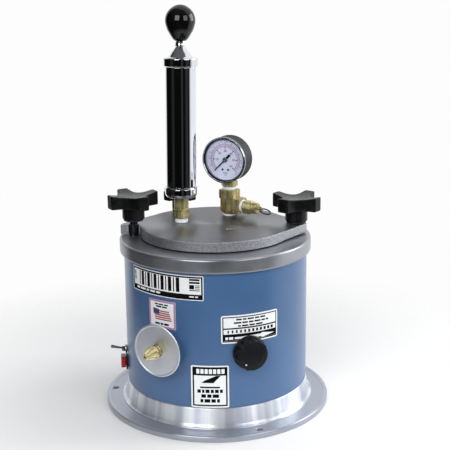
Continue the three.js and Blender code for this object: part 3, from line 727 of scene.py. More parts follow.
def star_knob(arm, scale, hub_height, top, bore, stem=0.0):
    """A four-armed knob on a fluted hub. Its dished top rises to the tips of the arms."""
    outline = star_outline(arm, scale)
    hub = 12.4 * scale
    crown = top - 3.7 * scale
    count = len(outline)
    normals = []
    for i in range(count):
        along = (outline[(i + 1) % count] - outline[i - 1]).normalized()
        normals.append(Vector((along.y, -along.x)))

    def on_hub(radius, height):
        ring = []
        for p in outline:
            angle = math.atan2(p.y, p.x)
            at = radius - 0.55 * (0.5 - 0.5 * cos(12 * angle)) ** 0.6 if radius > hub - 1.2 else radius
            ring.append((at * cos(angle), at * sin(angle), height))
        return ring

    def on_star(inset, height, share=1.0):
        ring = []
        for p, normal in zip(outline, normals):
            spot = (p - normal * inset) * share
            lift = 3.9 * scale * (spot.length / arm) ** 2 if height > crown - 2 else 0
            ring.append((spot.x, spot.y, height + lift))
        return ring

    rings = [[(0, 0, top - 6)], on_hub(bore, top - 6), on_hub(bore, 0.4)] if bore else [[(0, 0, -stem)]]
    if stem:
        rings += [on_hub(3.6, -stem), on_hub(3.9, -stem + 0.4), on_hub(3.9, 0)]
    rings += [on_hub(hub - 1.3, 0), on_hub(hub - 0.35, 0.3), on_hub(hub, 1.1), on_hub(hub, hub_height - 1.2)]
    rings += [on_hub(hub + 0.3, hub_height - 0.4), on_hub(hub + 1, hub_height)]
    rings += [on_star(1.3, hub_height + 0.1), on_star(0.45, hub_height + 0.4),
              on_star(0.1, hub_height + 1.2)]
    rings += [on_star(0, hub_height + 3), on_star(0, crown - 1.6), on_star(0.2, crown - 0.7)]
    rings.append(on_star(0.8, crown - 0.12))
    rings += [on_star(1.4, crown, share) for share in (1, 0.97, 0.88, 0.75, 0.6, 0.45, 0.3, 0.15)]
    rings.append([(0, 0, crown)])
    return skin(rings, closed=False)


KNOB_CROWN = 1.5  # how far the moulded crown stands above the plain knob's top


def build_knobs():
    for node, washer_node, place, turn, scale, hub_height in (
        ("left_knob", "left_washer", LEFT_KNOB, 30, 1, 13.6),
        ("right_knob", "right_washer", RIGHT_KNOB, 52, 1, 13.6),
        ("vent_knob", "vent_washer", VENT_KNOB, 45, 0.78, 14.6),
    ):
        arm, low, high = reach(node, place)
        radius, _, thick = reach(washer_node, place)
        vent = node == "vent_knob"
        seat = thick + 0.3
        bore, stem = (0, seat - low) if vent else (5.16, 0)
        knob = star_knob(arm - 0.2, scale, hub_height, high - seat + (0 if vent else KNOB_CROWN), bore, stem)
        finished(node, moved(knob, z=seat, turn=turn), place, black)
        bore = 4.3 if vent else 5.2
        disc = lathe([(bore, 0, 0.2), (radius, 0, 0.4), (radius, thick, 0.4), (bore, thick, 0.2)],
                     segments=64)
        finished(washer_node, disc, place, rubber if vent else stud_steel)


# ---- The nozzle ----
def build_nozzle():
    rim, back, front = reach("nozzle_shield", NOZZLE)
    disc = lathe([
        (6.9, back), (rim - 0.8, back, 0.7), (rim, back + 0.7, 0.6), (rim, front - 0.5, 0.7),
        (rim - 0.7, front, 0.6), (rim - 1.7, front, 0.5), (rim - 2.3, front - 0.4, 0.4), (6.9, front - 0.4),
    ], segments=144)
    finished("nozzle_shield", disc, NOZZLE, polished)
    _, low, high = reach("nozzle_body", NOZZLE)
    body = lathe([
        (0, low), (6, low), (6, 101), (8.4, 101, 0.3), (8.4, 102.6, 0.3), (9, 102.8), (10.6, 103.6),
        *climb(10.8, 104, 115.6, 2), (10.2, 116.6), (6.4, 117), (6.4, high, 0.4), (4.4, high, 0.3),
        (4.4, 104), (0, 104),
    ], flats(6, 19, 0, 102.7, 117))
    finished("nozzle_body", body, NOZZLE, brass)
    wide, low, tip = reach("nozzle_tip", NOZZLE)
    nose = smooth([(7.3, 127.6), (7.0, 129.4), (5.9, 133), (4.3, 137), (3.3, tip - 0.7)], 4)
    profile = [(0, low), (4, low), (4, 124.6), (wide - 0.9, 124.6, 0.3), (wide, 125.6, 0.6),
               (wide, 126.6, 0.5), (wide - 0.7, 127.4, 0.3), *nose, (2.6, tip, 0.3), (1.7, tip, 0.2),
               (1.6, low + 8), (0, low + 8)]
    finished("nozzle_tip", lathe(profile, waves(7, 2.1, 127.5, 139.5, 3), segments=144), NOZZLE,
             bright_brass)
    build_nozzle_spring()


def build_nozzle_spring():
    """The return spring, which on the real nozzle shortens towards its seat as the tip is pushed in; here it is
    built at one length.
    """
    outer, low, high = reach("nozzle_spring", NOZZLE)
    wire, turns, steps = 0.5, 3, 24
    coil = []
    for k in range(turns * steps + 1):
        angle, rise = 2 * pi * k / steps, (high - low - 2 * wire) * k / (turns * steps)
        coil.append(((outer - wire) * cos(angle), (outer - wire) * sin(angle), low + wire + rise))
    spring = finished("nozzle_spring", tube(coil, wire), NOZZLE, plated)
    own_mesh(spring)


# ---- The controls on the casing ----
def build_thermostat():
    wide, low, top = reach("temperature_knob", THERMOSTAT)
    grip = wide - 1.4
    knob = lathe([
        (0, low + 8), (3.3, low + 8), (3.3, low), (wide, low, 0.4), (wide, low + 2, 0.7),
        (grip + 0.5, low + 3.2, 0.3), *climb(grip + 0.3, low + 3.6, top - 3.6, 2), (grip, top - 2.9),
        (grip - 0.8, top - 2.1), (grip - 1.6, top - 1.9, 0.3), (grip - 2, top - 1.6), (9.5, top - 0.6, 6),
        (0, top),
    ], waves(13, 1.5, low + 3.3, top - 2.2, 1.3), segments=208)
    finished("temperature_knob", knob, THERMOSTAT, satin_black, sharp=38)
    angle = radians(226)
    dot = lathe([(0, top - 1.8), (1.1, top - 1.8), (1.1, top - 1.0, 0.15), (0, top - 0.9)], segments=32)
    moved(dot, 11.6 * cos(angle), 11.6 * sin(angle))
    piece("knob_pointer_dot", dot, THERMOSTAT, stock, "temperature_knob", "white_enamel")


def build_toggle():
    _, low, high = reach("toggle_body", TOGGLE)
    bush = lathe([(0, 101), (2.4, 101), (2.4, high, 0.2), (3, high - 0.3),
                  *reversed(climb(3, 99.6, high - 0.5, 0.14)), (3, 99), (0, 99)],
                 thread(0.75, 0.28, 99.5, high - 0.4), segments=48)
    housing = slab(rectangle(8, 13, 0.8), low, 99.2, 0.4)
    finished("toggle_body", together(bush, housing), TOGGLE, nickel)
    across, low, high = reach("toggle_nut", TOGGLE)
    nut = lathe([(3.3, low, 0.2), (across - 0.7, low), (across - 0.15, low + 0.35),
                 (across - 0.15, high - 0.35), (across - 0.7, high), (3.3, high, 0.2)], flats(6, 8.4, 0))
    finished("toggle_nut", nut, TOGGLE, nickel)
    pivot = (TOGGLE.inverted() @ Vector(joint_named("toggle_flip")["pos_m"])) / MM
    lever = lathe(smooth([(0, -1.6), (1.4, -1.1), (1.55, 0), (1.25, 1.6), (1.1, 3.5), (1.25, 8), (1.6, 13),
                          (1.85, 15.2), (1.45, 16.6), (0, 17.1)], 4), segments=40)
    tip = (TOGGLE.inverted() @ centre_of("toggle_lever")) / MM
    moved(lever, turn=-math.degrees(math.atan2(tip.y - pivot.y, tip.z - pivot.z)), axis="X")
    finished("toggle_lever", moved(lever, z=pivot.z), TOGGLE, nickel)


def build_lamp():
    _, low, high = reach("lamp_bezel", LAMP)
    frame_ring = cut(slab(rectangle(16.5, 16.5, 1.6), 102, high, 0.45), slab(rectangle(9.6, 9.6), 98, 106))
    back = cut(slab(rectangle(12.4, 12.4, 0.6), low, 102.2), slab(rectangle(9.6, 9.6), 98, 106))
    finished("lamp_bezel", together(frame_ring, back), LAMP, black)
    _, low, high = reach("lamp_lens", LAMP)
    cap = slab(rectangle(12.7, 12.7, 1.3), high - 5.2, high, 0.7)
    plug = slab(rectangle(9, 9, 0.4), low, high - 5)
    finished("lamp_lens", together(cap, plug), LAMP, red_plastic)


def build_gland():
    radius, low, high = reach("cord_gland", GLAND)
    neck = high - 9
    profile = [(4, low), (9, low, 0.4), (9, 99), (6.2, 99), (6.2, 102.2), (radius, 102.2, 0.6),
               (radius, 106.6, 0.8)]
    profile += [(8.9, 107)] + [p for k in range(3) for p in ((8.8 - 0.4 * k, neck + 1.4 + 2.6 * k, 0.4),
                                                            (7.9 - 0.4 * k, neck + 2.3 + 2.6 * k, 0.4))]
    profile += [(6.6, high, 0.6), (4, high, 0.4)]
    finished("cord_gland", lathe(profile, flats(8, 18.6, 0, 103, 106.7), segments=96), GLAND, black)


# ---- Sheets that wrap the casing ----
def azimuths(node):
    """The middle azimuth, arc length, middle height, height and outer radius of a sheet round the casing."""
    points = [v.co for v in frame["nodes"][node].data.vertices]
    turned_to = [math.atan2(p.x, -p.y) for p in points]
    heights = [p.z / MM for p in points]
    outer = max(math.hypot(p.x, p.y) for p in points) / MM
    wide = (max(turned_to) - min(turned_to)) * outer
    middle = (max(turned_to) + min(turned_to)) / 2
    return middle, wide, (max(heights) + min(heights)) / 2, max(heights) - min(heights), outer


def wrap(bm, middle, height, radius):
    """Bends a flat shape round the casing: x runs along the arc, y runs up, z stands out from the radius."""
    low, high = min(v.co.x for v in bm.verts), max(v.co.x for v in bm.verts)
    step = 1.5
    for k in range(int(low // step), int(high // step) + 1):
        geometry = bm.verts[:] + bm.edges[:] + bm.faces[:]
        bmesh.ops.bisect_plane(bm, geom=geometry, plane_co=(k * step, 0, 0), plane_no=(1, 0, 0), dist=1e-4)
    for v in bm.verts:
        angle = middle + v.co.x / radius
        out = radius + v.co.z
        v.co = (out * sin(angle), -out * cos(angle), height + v.co.y)
    return bm


def print_on(name, node, shapes, material, lift=0.06):
    """Ink on a plate, from outlines on its flat face with the plate's middle at the origin."""
    middle, _, height, _, outer = azimuths(node)
    flat = together(*(slab(outline, 0, lift) for outline in shapes))
    piece(name, wrap(flat, middle, height, outer), POT, material, "pot")


def frame_bars(width, height, inset, thick):
    """A frame as four bars."""
    w, h = width - 2 * inset, height - 2 * inset
    return [rectangle(w, thick, 0, 0, (h - thick) / 2), rectangle(w, thick, 0, 0, (thick - h) / 2),
            rectangle(thick, h - 2 * thick, 0, (w - thick) / 2),
            rectangle(thick, h - 2 * thick, 0, (thick - w) / 2)]


def dashes(y, height, lengths, start, gap):
    """A row of short bars, as generic filling."""
    made = []
    x = start
    for length in lengths:
        made.append(rectangle(length, height, 0, x + length / 2, y))
        x += length + gap
    return made


def build_plates():
    for node, corner in (("name_plate", 1.6), ("small_sticker", 0.8), ("scale_plate", 2.6),
                         ("notice_plate", 1.8)):
        middle, wide, height, tall, outer = azimuths(node)
        sheet = slab(rectangle(wide, tall, corner), -0.42, 0, 0)
        finished(node, wrap(sheet, middle, height, outer), POT, stock)
    print_name_plate()
    print_sticker()
    print_scale()
    print_notice()


def print_name_plate():
    _, w, _, h, _ = azimuths("name_plate")
    left, right, foot = -w / 2, w / 2, -h / 2
    bars = frame_bars(w, h, 0.9, 1.6) + [rectangle(w - 4, 5, 0, 0, foot + 4)]
    bars += [rectangle(3.9 if k % 2 else 1.3, 15.5, 0, left + w * (0.15 + 0.05 * k), 2.6) for k in range(12)]
    bars += [rectangle(across, tall, 0, left + 5.2, y) for across, tall,
             y in ((1.2, 11, 3.4), (2.4, 1.4, 6), (2.4, 1.4, 0.8))]
    bars += [rectangle(11, 2, 0, right - 9.5, y) for y in (9, 5.9)] + [rectangle(5.2, 4.6, 0, right - 12.4,
                                                                                 1.2)]
    bars += [rectangle(4.8, 0.8, 0, right - 6.4, y)
             for y in (2.9, 1.2, -0.5)] + [rectangle(11, 0.9, 0, right - 9.5, -2.4)]
    print_on("name_plate_print", "name_plate", bars, ink)
    lines = dashes(foot + 4.2, 2, (5, 8, 4, 7, 5), left + 8, 1.6) + dashes(foot + 4, 1.4, (5, 3), right - 15,
                                                                           1.2)
    print_on("name_plate_dashes", "name_plate", lines, stock, 0.12)


def print_sticker():
    _, w, _, h, _ = azimuths("small_sticker")
    print_on("sticker_border", "small_sticker", frame_bars(w, h, 0, 2.2), pink_ink)
    lines = dashes(h / 2 - 4.5, 1.5, (4, 6, 5), -8.6, 1) + dashes(h / 2 - 7, 1.6, (7, 6), -7, 1)
    print_on("sticker_lines", "small_sticker", lines + dashes(4.6 - h / 2, 2.2, (6, 3.4, 5.6), -8.6, 1.2),
             ink)
    field = [[(-10.5 + 0.5 * k, 4.2 - 2.3 * k), (9.4 + 0.7 * k, 4.2 - 2.3 * k),
              (9.8 + 0.7 * k, 2.8 - 2.3 * k), (-10.2 + 0.5 * k, 2.8 - 2.3 * k)] for k in range(5)]
    print_on("sticker_red", "small_sticker", field, red_ink)
    print_on("sticker_blue", "small_sticker", [[(-10.8, -0.2), (-3, -0.2), (-3, 5.2), (-10.8, 6)]], blue_ink,
             0.1)


def print_scale():
    _, w, _, h, _ = azimuths("scale_plate")
    bars = frame_bars(w, h, 1.5, 1.1)
    for row, lengths in enumerate(((6, 4, 7, 5, 6), (8, 6, 5, 7, 4, 3), (3, 7, 6, 8))):
        bars += dashes(h / 2 - 4.8 - 3.5 * row, 1.7, lengths, -sum(lengths) / 2 - 2.4, 1.2)
    bars += [rectangle(w - 5, 1.5, 0, 0, 0.9), rectangle(w - 5, 1.5, 0, 0, -5.9)]
    bars += [rectangle(1.5 + 0.13 * k, 3.2, 0, -24.8 + 4.5 * k, -2.5) for k in range(12)]
    bars += [rectangle(w - 5, 5.8, 0, 0, -9.5)]
    print_on("scale_plate_print", "scale_plate", bars, ink)
    y = -9.6
    arrow = [(-18, y - 1.1), (12, y - 1.5), (12, y - 2.7), (w / 2 - 4.2, y + 0.2), (12, y + 2.8),
             (12, y + 1.7), (-18, y + 1.1)]
    pointers = [arrow, rectangle(2.6, 2.8, 0, -26.5, y), rectangle(4.6, 2.8, 0, -21.9, y)]
    print_on("scale_plate_arrow", "scale_plate", pointers, stock, 0.12)


def print_notice():
    _, w, _, h, _ = azimuths("notice_plate")
    bars = frame_bars(w, h, 1.7, 1.6) + [rectangle(w - 3.6, 9.4, 0, 0, h / 2 - 6.2)]
    bars += [rectangle(21, 1.7, 0, 0, -0.6), [(-9, 4.4), (-5.4, 7.2), (6.5, 12.4), (11.4, 12.4), (3.6, 4.4)]]
    for row, lengths in enumerate(((3.6, 2.4, 4.2, 3.2, 3.8, 3), (5, 4.4, 6.6), (3, 6, 4.6, 3))):
        bars += dashes(-4.9 - 5.4 * row, 3.8, lengths, -(sum(lengths) + 1.3 * len(lengths) - 1.3) / 2, 1.3)
    print_on("notice_plate_print", "notice_plate", bars, ink)
    print_on("notice_plate_blocks", "notice_plate", dashes(h / 2 - 6.3, 5.2, (3.3,) * 7, -14.2, 1.1), stock,
             0.12)


def build_rear_cover():
    middle, wide, height, tall, outer = azimuths("rear_cover")
    panel = slab(rectangle(wide, tall, 4), -1.2, 0, 0.35)
    finished("rear_cover", wrap(panel, middle, height, outer), POT, grey)
    heads = [moved(screw_head(3.1, 1.5), x * (wide / 2 - 6), y * (tall / 2 - 6)) for x in (-1, 1)
             for y in (-1, 1)]
    piece("cover_screws", wrap(together(*heads), middle, height, outer), POT, plated, "pot", "steel")
    louvres = [moved(slab(rectangle(34, 2.6, 1.2), -0.2, 0.9, 0.4), 0, 14 - 7 * k) for k in range(5)]
    piece("cover_louvres", wrap(together(*louvres), middle, height, outer), POT, grey, "pot", "grey_enamel")


# ---- The lid ----
LID_DIMPLE = (16, -29)  # where a dimple is cut into the lid; a black disc at its floor is painted shade


def build_lid():
    left, right = (centre_of(node).x / MM for node in ("left_stud", "right_stud"))
    low, high = (corner.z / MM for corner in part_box("lid"))
    radius = -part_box("lid")[0].y / MM
    edge = radius - 0.6
    plate = lathe([(0, low), (radius, low, 0.6), (radius, high, 1.7), (0, high)], segments=192)

    def ear(x, size, front=None):
        """An ear that runs into the lid's edge. A front cuts it off there, and leaves a hook."""
        side = math.copysign(1, x)
        turn = math.acos((radius - size) / abs(x))
        start = -turn if front is None else math.asin(front / size)
        root = (side * edge * cos(turn), -edge * sin(turn)) if front is None else (0, front)
        arc = [start + (turn - start) * i / 24 for i in range(25)]
        rim = [(x + side * size * cos(a), size * sin(a)) for a in arc]
        return slab([root, *rim, (side * edge * cos(turn), edge * sin(turn)), (0, 6)], low, high - 0.35, 1.6)

    mouth = [(left - 7, -20), (left + 7, -20)]
    mouth += [(left + 5.8 * cos(a), 5.8 * sin(a)) for a in (pi * i / 24 for i in range(25))]
    pump, tee, vent = (centre_of(node) / MM for node in ("pump_tape", "gauge_socket", "vent_washer"))
    bores = ((5.4, right, 0), (6.8, pump.x, pump.y), (5.6, tee.x, tee.y), (4.3, vent.x, vent.y))
    dimple = lathe([(0, high - 2.2), (3.6, high - 2.2), (3.6, high - 0.6), (4.3, high + 0.1),
                    (4.3, high + 4), (0, high + 4)], segments=40)
    tools = [drill(bore, low - 5, high + 5, x, y) for bore, x, y in bores]
    body = boolean(plate, "UNION", ear(left, 14.6, -1.5), ear(right, 11.5))
    finished("lid", cut(body, slab(mouth, low - 5, high + 5), *tools, moved(dimple, *LID_DIMPLE)), POT, cast)
    # painted shade: a black disc at the dimple's floor stands in for the shade in the recess
    plug = lathe([(0, high - 2.1), (3.5, high - 2.1), (3.5, high - 0.9, 0.2), (0, high - 0.8)], segments=40)
    piece("lid_dimple_painted_shade", moved(plug, *LID_DIMPLE), POT, black, "lid", "steel")
    pin = lathe([(0, high - 0.9), (1.6, high - 0.9), (1.6, high - 0.2), (1, high + 0.5, 0.5),
                 (0, high + 0.7)], segments=32)
    piece("lid_plug_pin", moved(pin, *LID_DIMPLE), POT, plated, "lid", "steel")


# ---- The hand pump ----
def wind_tape(node, place, bore, turns, dips, soft, ripples):
    """Thread-seal tape in uneven turns, which dip below its radius by one depth and then the other."""
    radius, low, high = reach(node, place)
    wraps = [(radius - dips[k % 2], low + (high - low) * (k + 0.5) / turns, soft) for k in range(turns)]
    roll = [(bore, low), (radius - dips[0], low, 0.2), *wraps, (radius - 0.6, high), (bore, high)]
    finished(node, lathe(roll, ripples), place, tape)


def build_pump():
    _, low, high = reach("pump_adapter", PUMP)
    adapter = lathe([
        (0, low), (6.4, low, 0.4), (6.4, 208.9), (8.6, 208.9), (9.6, 209.7), *climb(9.9, 210, 218, 2),
        (9.6, 218.5), (8.4, 219.2, 0.2), (7.7, 219.4), (8, 220.2, 0.3), (8, 231.6, 0.4), (7, 231.9),
        (7, high), (0, high),
    ], flats(6, 17.1, 30, 208.9, 219.2))
    finished("pump_adapter", adapter, PUMP, brass)
    wind_tape("pump_tape", PUMP, 6.7, 7, (0.5, 0.1), 0.25, waves(5, 0.3))
    radius, low, high = reach("pump_collar", PUMP)
    finished("pump_collar", lathe([
        (7.4, low), (radius - 4.2, low, 3), (radius - 1.1, low + 1.3, 2.4), (radius - 0.1, low + 4.2, 2),
        (radius, high - 1.6, 0.6), (radius - 1, high, 0.5), (7.4, high),
    ], segments=128), PUMP, chrome)
    radius, low, high = reach("pump_tube", PUMP)
    finished("pump_tube", lathe([(radius - 1.85, low), (radius, low, 0.3), (radius, high, 0.3),
                                 (radius - 1.85, high)],
                                segments=128), PUMP, chrome)
    radius, low, high = reach("pump_cap", PUMP)
    finished("pump_cap", lathe([
        (4.5, low), (radius - 1, low, 0.5), (radius, low + 1, 0.8), (radius, low + 8.7, 0.9),
        (radius - 1.1, low + 9.8, 0.6), (13.4, low + 10, 0.5), (12.6, low + 10.9, 0.6), (9.6, low + 15.6, 3),
        (5.6, high - 0.6, 0.5), (4.5, high, 0.2),
    ], segments=128), PUMP, chrome)
    radius, low, high = reach("pump_rod", PUMP)
    finished("pump_rod", lathe([(0, low), (radius, low, 0.4), (radius, high, 0.4), (0, high)], segments=64),
             PUMP, chrome)
    radius, low, high = reach("knob_ferrule", PUMP)
    finished("knob_ferrule", lathe([
        (4.3, low), (radius, low, 0.3), (radius, low + 0.9, 0.3), (radius - 0.6, low + 1.3, 0.2),
        (radius, low + 1.8, 0.3), (radius - 0.1, low + 2.6, 0.3), (radius - 1, high - 0.3, 0.5), (4.3, high),
    ], segments=72), PUMP, chrome)
    radius, low, high = reach("pump_knob", PUMP)
    side = [(7.9, 1.8), (10.7, 6.3), (13.2, 10.8), (14.8, 15.3), (radius, 19.8), (radius - 0.3, 24.3),
            (13.9, 28.8), (10.4, 33.4), (5.7, 36.5), (2.6, 37.5), (0, high - low)]
    egg = [(0, low + 7), (4.3, low + 7), (4.3, low), (6.2, low, 0.5),
           *[(1.035 * r, low + z) for r, z in smooth(side, 5)]]
    finished("pump_knob", lathe(egg, segments=128), PUMP, black_gloss, sharp=50)


# ---- The gauge on its tee, and the relief valve ----
def build_tee():
    _, low, high = reach("gauge_tee", TEE)
    turn = math.degrees(math.atan2(RELIEF.col[2].y, RELIEF.col[2].x)) + 45
    column = lathe([(0, low), (5.2, low), (5.2, 205.5), (7.4, 205.5, 0.5), (8, 207, 0.6), (10.2, 207.6, 1.2),
                    *climb(10.7, 209, 221, 3), (10.2, 223.6, 0.8), (5.7, 223.6), (0, 223.6)],
                   flats(4, 17.6, turn, 207.1, 224), segments=128)
    block = lathe([(0, 223.1), (11.4, 223.1, 0.5), (12.1, 223.7), (12.1, high - 0.6), (11.5, high, 0.4),
                   (5.7, high, 0.3), (5.7, 226), (0, 226)], flats(4, 19.4, turn, 223, high + 1),
                  segments=128)
    arm = lathe([(0, 0), (11.2, 0), (11.4, 8), *climb(11.6, 8.2, 17.2, 2), (11.2, 17.8), (5.4, 17.8, 0.3),
                 (5.4, 9), (0, 9)],
                flats(4, 17.4, 45, -1, 18), segments=128)
    finished("gauge_tee", boolean(column, "UNION", block, seen_from(arm, RELIEF, TEE)), TEE, dull_brass)
    _, low, high = reach("gauge_socket", TEE)
    angle = math.degrees(math.atan2(GAUGE.col[2].y, GAUGE.col[2].x))
    socket = lathe([
        (0, low), (5.1, low), (5.1, 237.4), (8.8, 237.4, 0.2), (9.6, 238.1), (9.8, 239), (9.8, 242),
        (9.6, 242.8), (8.8, 243.4, 0.2), (4.6, 243.4, 0.4), (4.6, 249.5), (4.6, high), (0, high),
    ], flats(6, 17, angle - 18, 237.3, 243.5))
    bracket = moved(slab(rectangle(9, 7, 0.8), 249.5, high, 0.4), turn=angle + 90)
    finished("gauge_socket", together(socket, bracket), TEE, brass)
    wind_tape("gauge_tape", TEE, 5.4, 5, (0.4, 0), 0.2, waves(7, 0.25))
    wind_tape("relief_tape", RELIEF, 5.5, 5, (0.4, 0), 0.2, waves(7, 0.25))
    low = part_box("lid")[1].z / MM
    collar = lathe([(5.4, low + 0.2), (8.2, low + 0.2, 0.4), (7.5, low + 1.2, 0.3), (7.7, low + 1.7, 0.3),
                    (5.4, low + 2.1)],
                   waves(6, 0.4))
    piece("tee_tape", collar, TEE, tape, "lid", "white_tape")


def numeral(text, size, x, y):
    """A number as a flat mesh, standing on z = 0."""
    curve = bpy.data.curves.new("numeral", "FONT")
    curve.body, curve.size, curve.extrude = text, size, 0.03
    curve.align_x = curve.align_y = "CENTER"
    curve.resolution_u = 3
    holder = linked("numeral", curve)
    graph = bpy.context.evaluated_depsgraph_get()
    mesh = bpy.data.meshes.new_from_object(holder.evaluated_get(graph), depsgraph=graph)
    bm = bmesh.new()
    bm.from_mesh(mesh)
    bpy.data.objects.remove(holder)
    bpy.data.meshes.remove(mesh)
    bmesh.ops.remove_doubles(bm, verts=bm.verts, dist=1e-5)
    return moved(bm, x, y)


def dial_arc(radius, thick, start, end, low):
    """A printed arc on the dial, between two angles in degrees."""
    steps = max(2, round(abs(end - start) / 4))
    angles = [radians(start + (end - start) * i / steps) for i in range(steps + 1)]
    outline = [(radius * cos(a), radius * sin(a)) for a in angles]
    outline += [((radius - thick) * cos(a), (radius - thick) * sin(a)) for a in reversed(angles)]
    return slab(outline, low, low + 0.05)


def tick(radius, length, width, angle, low):
    mark = moved(slab(rectangle(length, width), 0, 0.05), radius - length / 2, 0, low)
    return moved(mark, turn=angle)


WIDER_CASE, WIDER_BEZEL = 0.7, 0.6  # how much these stand outside their CAD nodes, as the photo shows
SEAL_LEVEL = 13.9  # the height on the gauge's axis where the window's seal meets the lining
DIAL_START, DIAL_SWEEP = 225, 270  # where the scale starts, and how far round it runs, in degrees


def build_gauge():
    radius, low, high = reach("gauge_case", GAUGE)
    inner = radius - 1
    radius += WIDER_CASE
    side = [(radius - 0.3 * (k % 2), low + 2.4 + 1.15 * k, 0.15) for k in range(15)]
    case = lathe([(0, low), (radius - 1.6, low, 1.2), (radius - 0.2, low + 1.2, 0.6), *side,
                  (radius, high, 0.3), (inner, high, 0.2), (inner, low + 1.2), (0, low + 1.2)], segments=144)
    finished("gauge_case", cut(case, moved(drill(5, 15, 30), turn=90, axis="X")), GAUGE, grey)
    radius, low, high = reach("gauge_bezel", GAUGE)
    radius += WIDER_BEZEL
    bore = radius - 2
    bezel = lathe([(bore, low), (radius - 0.5, low, 0.3), (radius, low + 0.6, 0.4),
                   (radius, high - 0.8, 0.6), (radius - 0.7, high, 0.4), (bore + 0.3, high, 0.3),
                   (bore, high - 0.4)], segments=144)
    finished("gauge_bezel", bezel, GAUGE, bezel_chrome)
    seal = lathe([(bore - 1.3, SEAL_LEVEL), (bore + 0.1, SEAL_LEVEL), (bore + 0.1, high - 0.4),
                  (bore - 0.3, high - 0.4, 0.2)],
                 segments=144)
    piece("gauge_lens_seal", seal, GAUGE, satin_black, "lid", "black_rubber")
    radius, low, top = reach("gauge_dial", GAUGE)
    dial = lathe([(1.3, low), (radius, low, 0.1), (radius, top, 0.1), (1.3, top)], segments=144)
    finished("gauge_dial", dial, GAUGE, dial_face)
    lining = lathe([(radius - 0.7, top + 0.1), (radius + 0.2, top + 0.1), (radius + 0.2, SEAL_LEVEL),
                    (radius - 0.7, SEAL_LEVEL)],
                   segments=144)
    piece("gauge_lining", lining, GAUGE, dial_rim, "lid", "white_enamel")
    red_marks = [dial_arc(15.2, 0.7, DIAL_START, DIAL_START - DIAL_SWEEP, top)]
    black_marks = []
    for k in range(61):
        angle = DIAL_START - DIAL_SWEEP * k / 60
        outer, length = (18.4, 2.6) if k % 5 else (20.4, 4.6)
        red_marks.append(tick(outer, length, 0.6, angle, top))
        if k % 10 == 0:
            black_marks.append(tick(15, 2.8, 0.75, angle, top))
    for k in range(7):
        angle = radians(DIAL_START - DIAL_SWEEP * k / 6)
        black_marks.append(moved(numeral(str(10 * k), 3.7, 9.9 * cos(angle), 9.9 * sin(angle)),
                                 z=top + 0.03))
    for k in (1, 3, 5, 6):
        angle = radians(DIAL_START - DIAL_SWEEP * k / 6 - 6)
        black_marks.append(moved(numeral(str(k), 2.7, 20.3 * cos(angle), 20.3 * sin(angle)), z=top + 0.03))
    for width, y in ((5.2, -15.2), (2.8, -17.4)):
        black_marks.append(moved(slab(rectangle(width, 0.6), 0, 0.05), 0, y, top))
    piece("dial_black_scale", together(*black_marks), GAUGE, ink, "lid")
    piece("dial_red_scale", together(*red_marks), GAUGE, dial_red, "lid")
    screws = together(*(moved(screw_head(1.25, 0.7), x, -11.4, top, turn=35) for x in (-3.4, 3.4)))
    piece("dial_screws", screws, GAUGE, black, "lid", "black_plastic")
    radius, low, _ = reach("gauge_lens", GAUGE)
    pane = lathe([(0, low - 0.7), (radius, low - 0.7, 0.2), (radius, low - 0.4, 0.1), (0, low - 0.3)],
                 segments=96)
    finished("gauge_lens", pane, GAUGE, window)
    blade = [(-1.3, -8.4), (1.3, -8.4), (1.1, 0), (0.7, 3), (0.45, 18), (-0.45, 18), (-0.7, 3), (-1.1, 0)]
    pointer = together(slab(blade, 12.05, 12.6, 0.12), drill(0.9, 5, 12.05))
    finished("gauge_needle", moved(pointer, turn=135), GAUGE, black)
    hub = lathe([(0, 11.6), (2.7, 11.6, 0.2), (2.9, 12.5, 0.2), (2.5, 13.1, 0.3), (1.2, 13.2, 0.1),
                 (0.9, 12.9), (0, 12.9)],
                segments=64)
    piece("needle_hub", hub, GAUGE, plated, "gauge_needle", "steel")


def build_relief():
    _, low, high = reach("relief_valve_body", RELIEF)
    body = lathe([
        (0, low), (5.1, low), (5.1, 21.6), (7.4, 22, 0.2), (8.1, 22.8), (8.1, 31.6), (7.4, 32.5, 0.2),
        (6.3, 32.8), (6.3, 34.4, 0.2), (5.9, 34.8, 0.2), (5.9, 35.3, 0.2), (6.3, 35.7, 0.2),
        (6.3, high - 1.2, 0.4), (5.2, high, 0.3), (1.9, high, 0.2), (1.9, 28), (0, 28),
    ], flats(6, 14.2, 0, 21.9, 32.6))
    finished("relief_valve_body", body, RELIEF, brass)
    eye = ((RELIEF.inverted() @ Vector(joint_named("relief_ring_swing")["pos_m"])) / MM).z
    low = reach("relief_stem", RELIEF)[1]
    shaft = lathe([(0, low), (1.5, low), (1.5, eye - 2.9, 0.4), (0.9, eye - 2.2), (0, eye - 2.2)],
                  segments=48)
    loop = tube([(0, 1.9 * cos(a), eye + 1.9 * sin(a)) for a in (2 * pi * k / 40 for k in range(40))], 0.7,
                closed=True)
    finished("relief_stem", together(shaft, loop), RELIEF, brass)
    radius = 6.2
    ring = tube([(radius * sin(a), 0, radius - radius * cos(a))
                 for a in (2 * pi * k / 72 for k in range(72))],
                0.8, closed=True)
    moved(ring, turn=20, axis="X")
    finished("relief_ring", moved(ring, z=eye), RELIEF, stud_steel)


for build in (build_base, build_casing, build_knobs, build_nozzle, build_thermostat, build_toggle,
              build_lamp, build_gland, build_plates, build_rear_cover, build_lid, build_pump, build_tee,
              build_gauge, build_relief):
    build()
for stud in ("left_stud", "right_stud"):
    build_stud(stud)


# ---- The CAD nodes that stay as they are, inside or underneath ----
INNER = {
    "bottom_plate": plated, "heater_band": plated, "insulation_sleeve": wool, "nozzle_locknut": brass,
    "thermostat_body": brown, "thermostat_shaft": plated, "check_valve": rubber,
    "pump_piston": brass, "piston_seal": rubber, "bourdon_tube": brass,
}
for node, material in INNER.items():
    for slot in frame["nodes"][node].material_slots:
        slot.material = material


# ---- The studio ----
FLOOR_FADE = (0.2, 0.5)  # how far from the pot's axis the floor starts to fade, and is gone, in metres


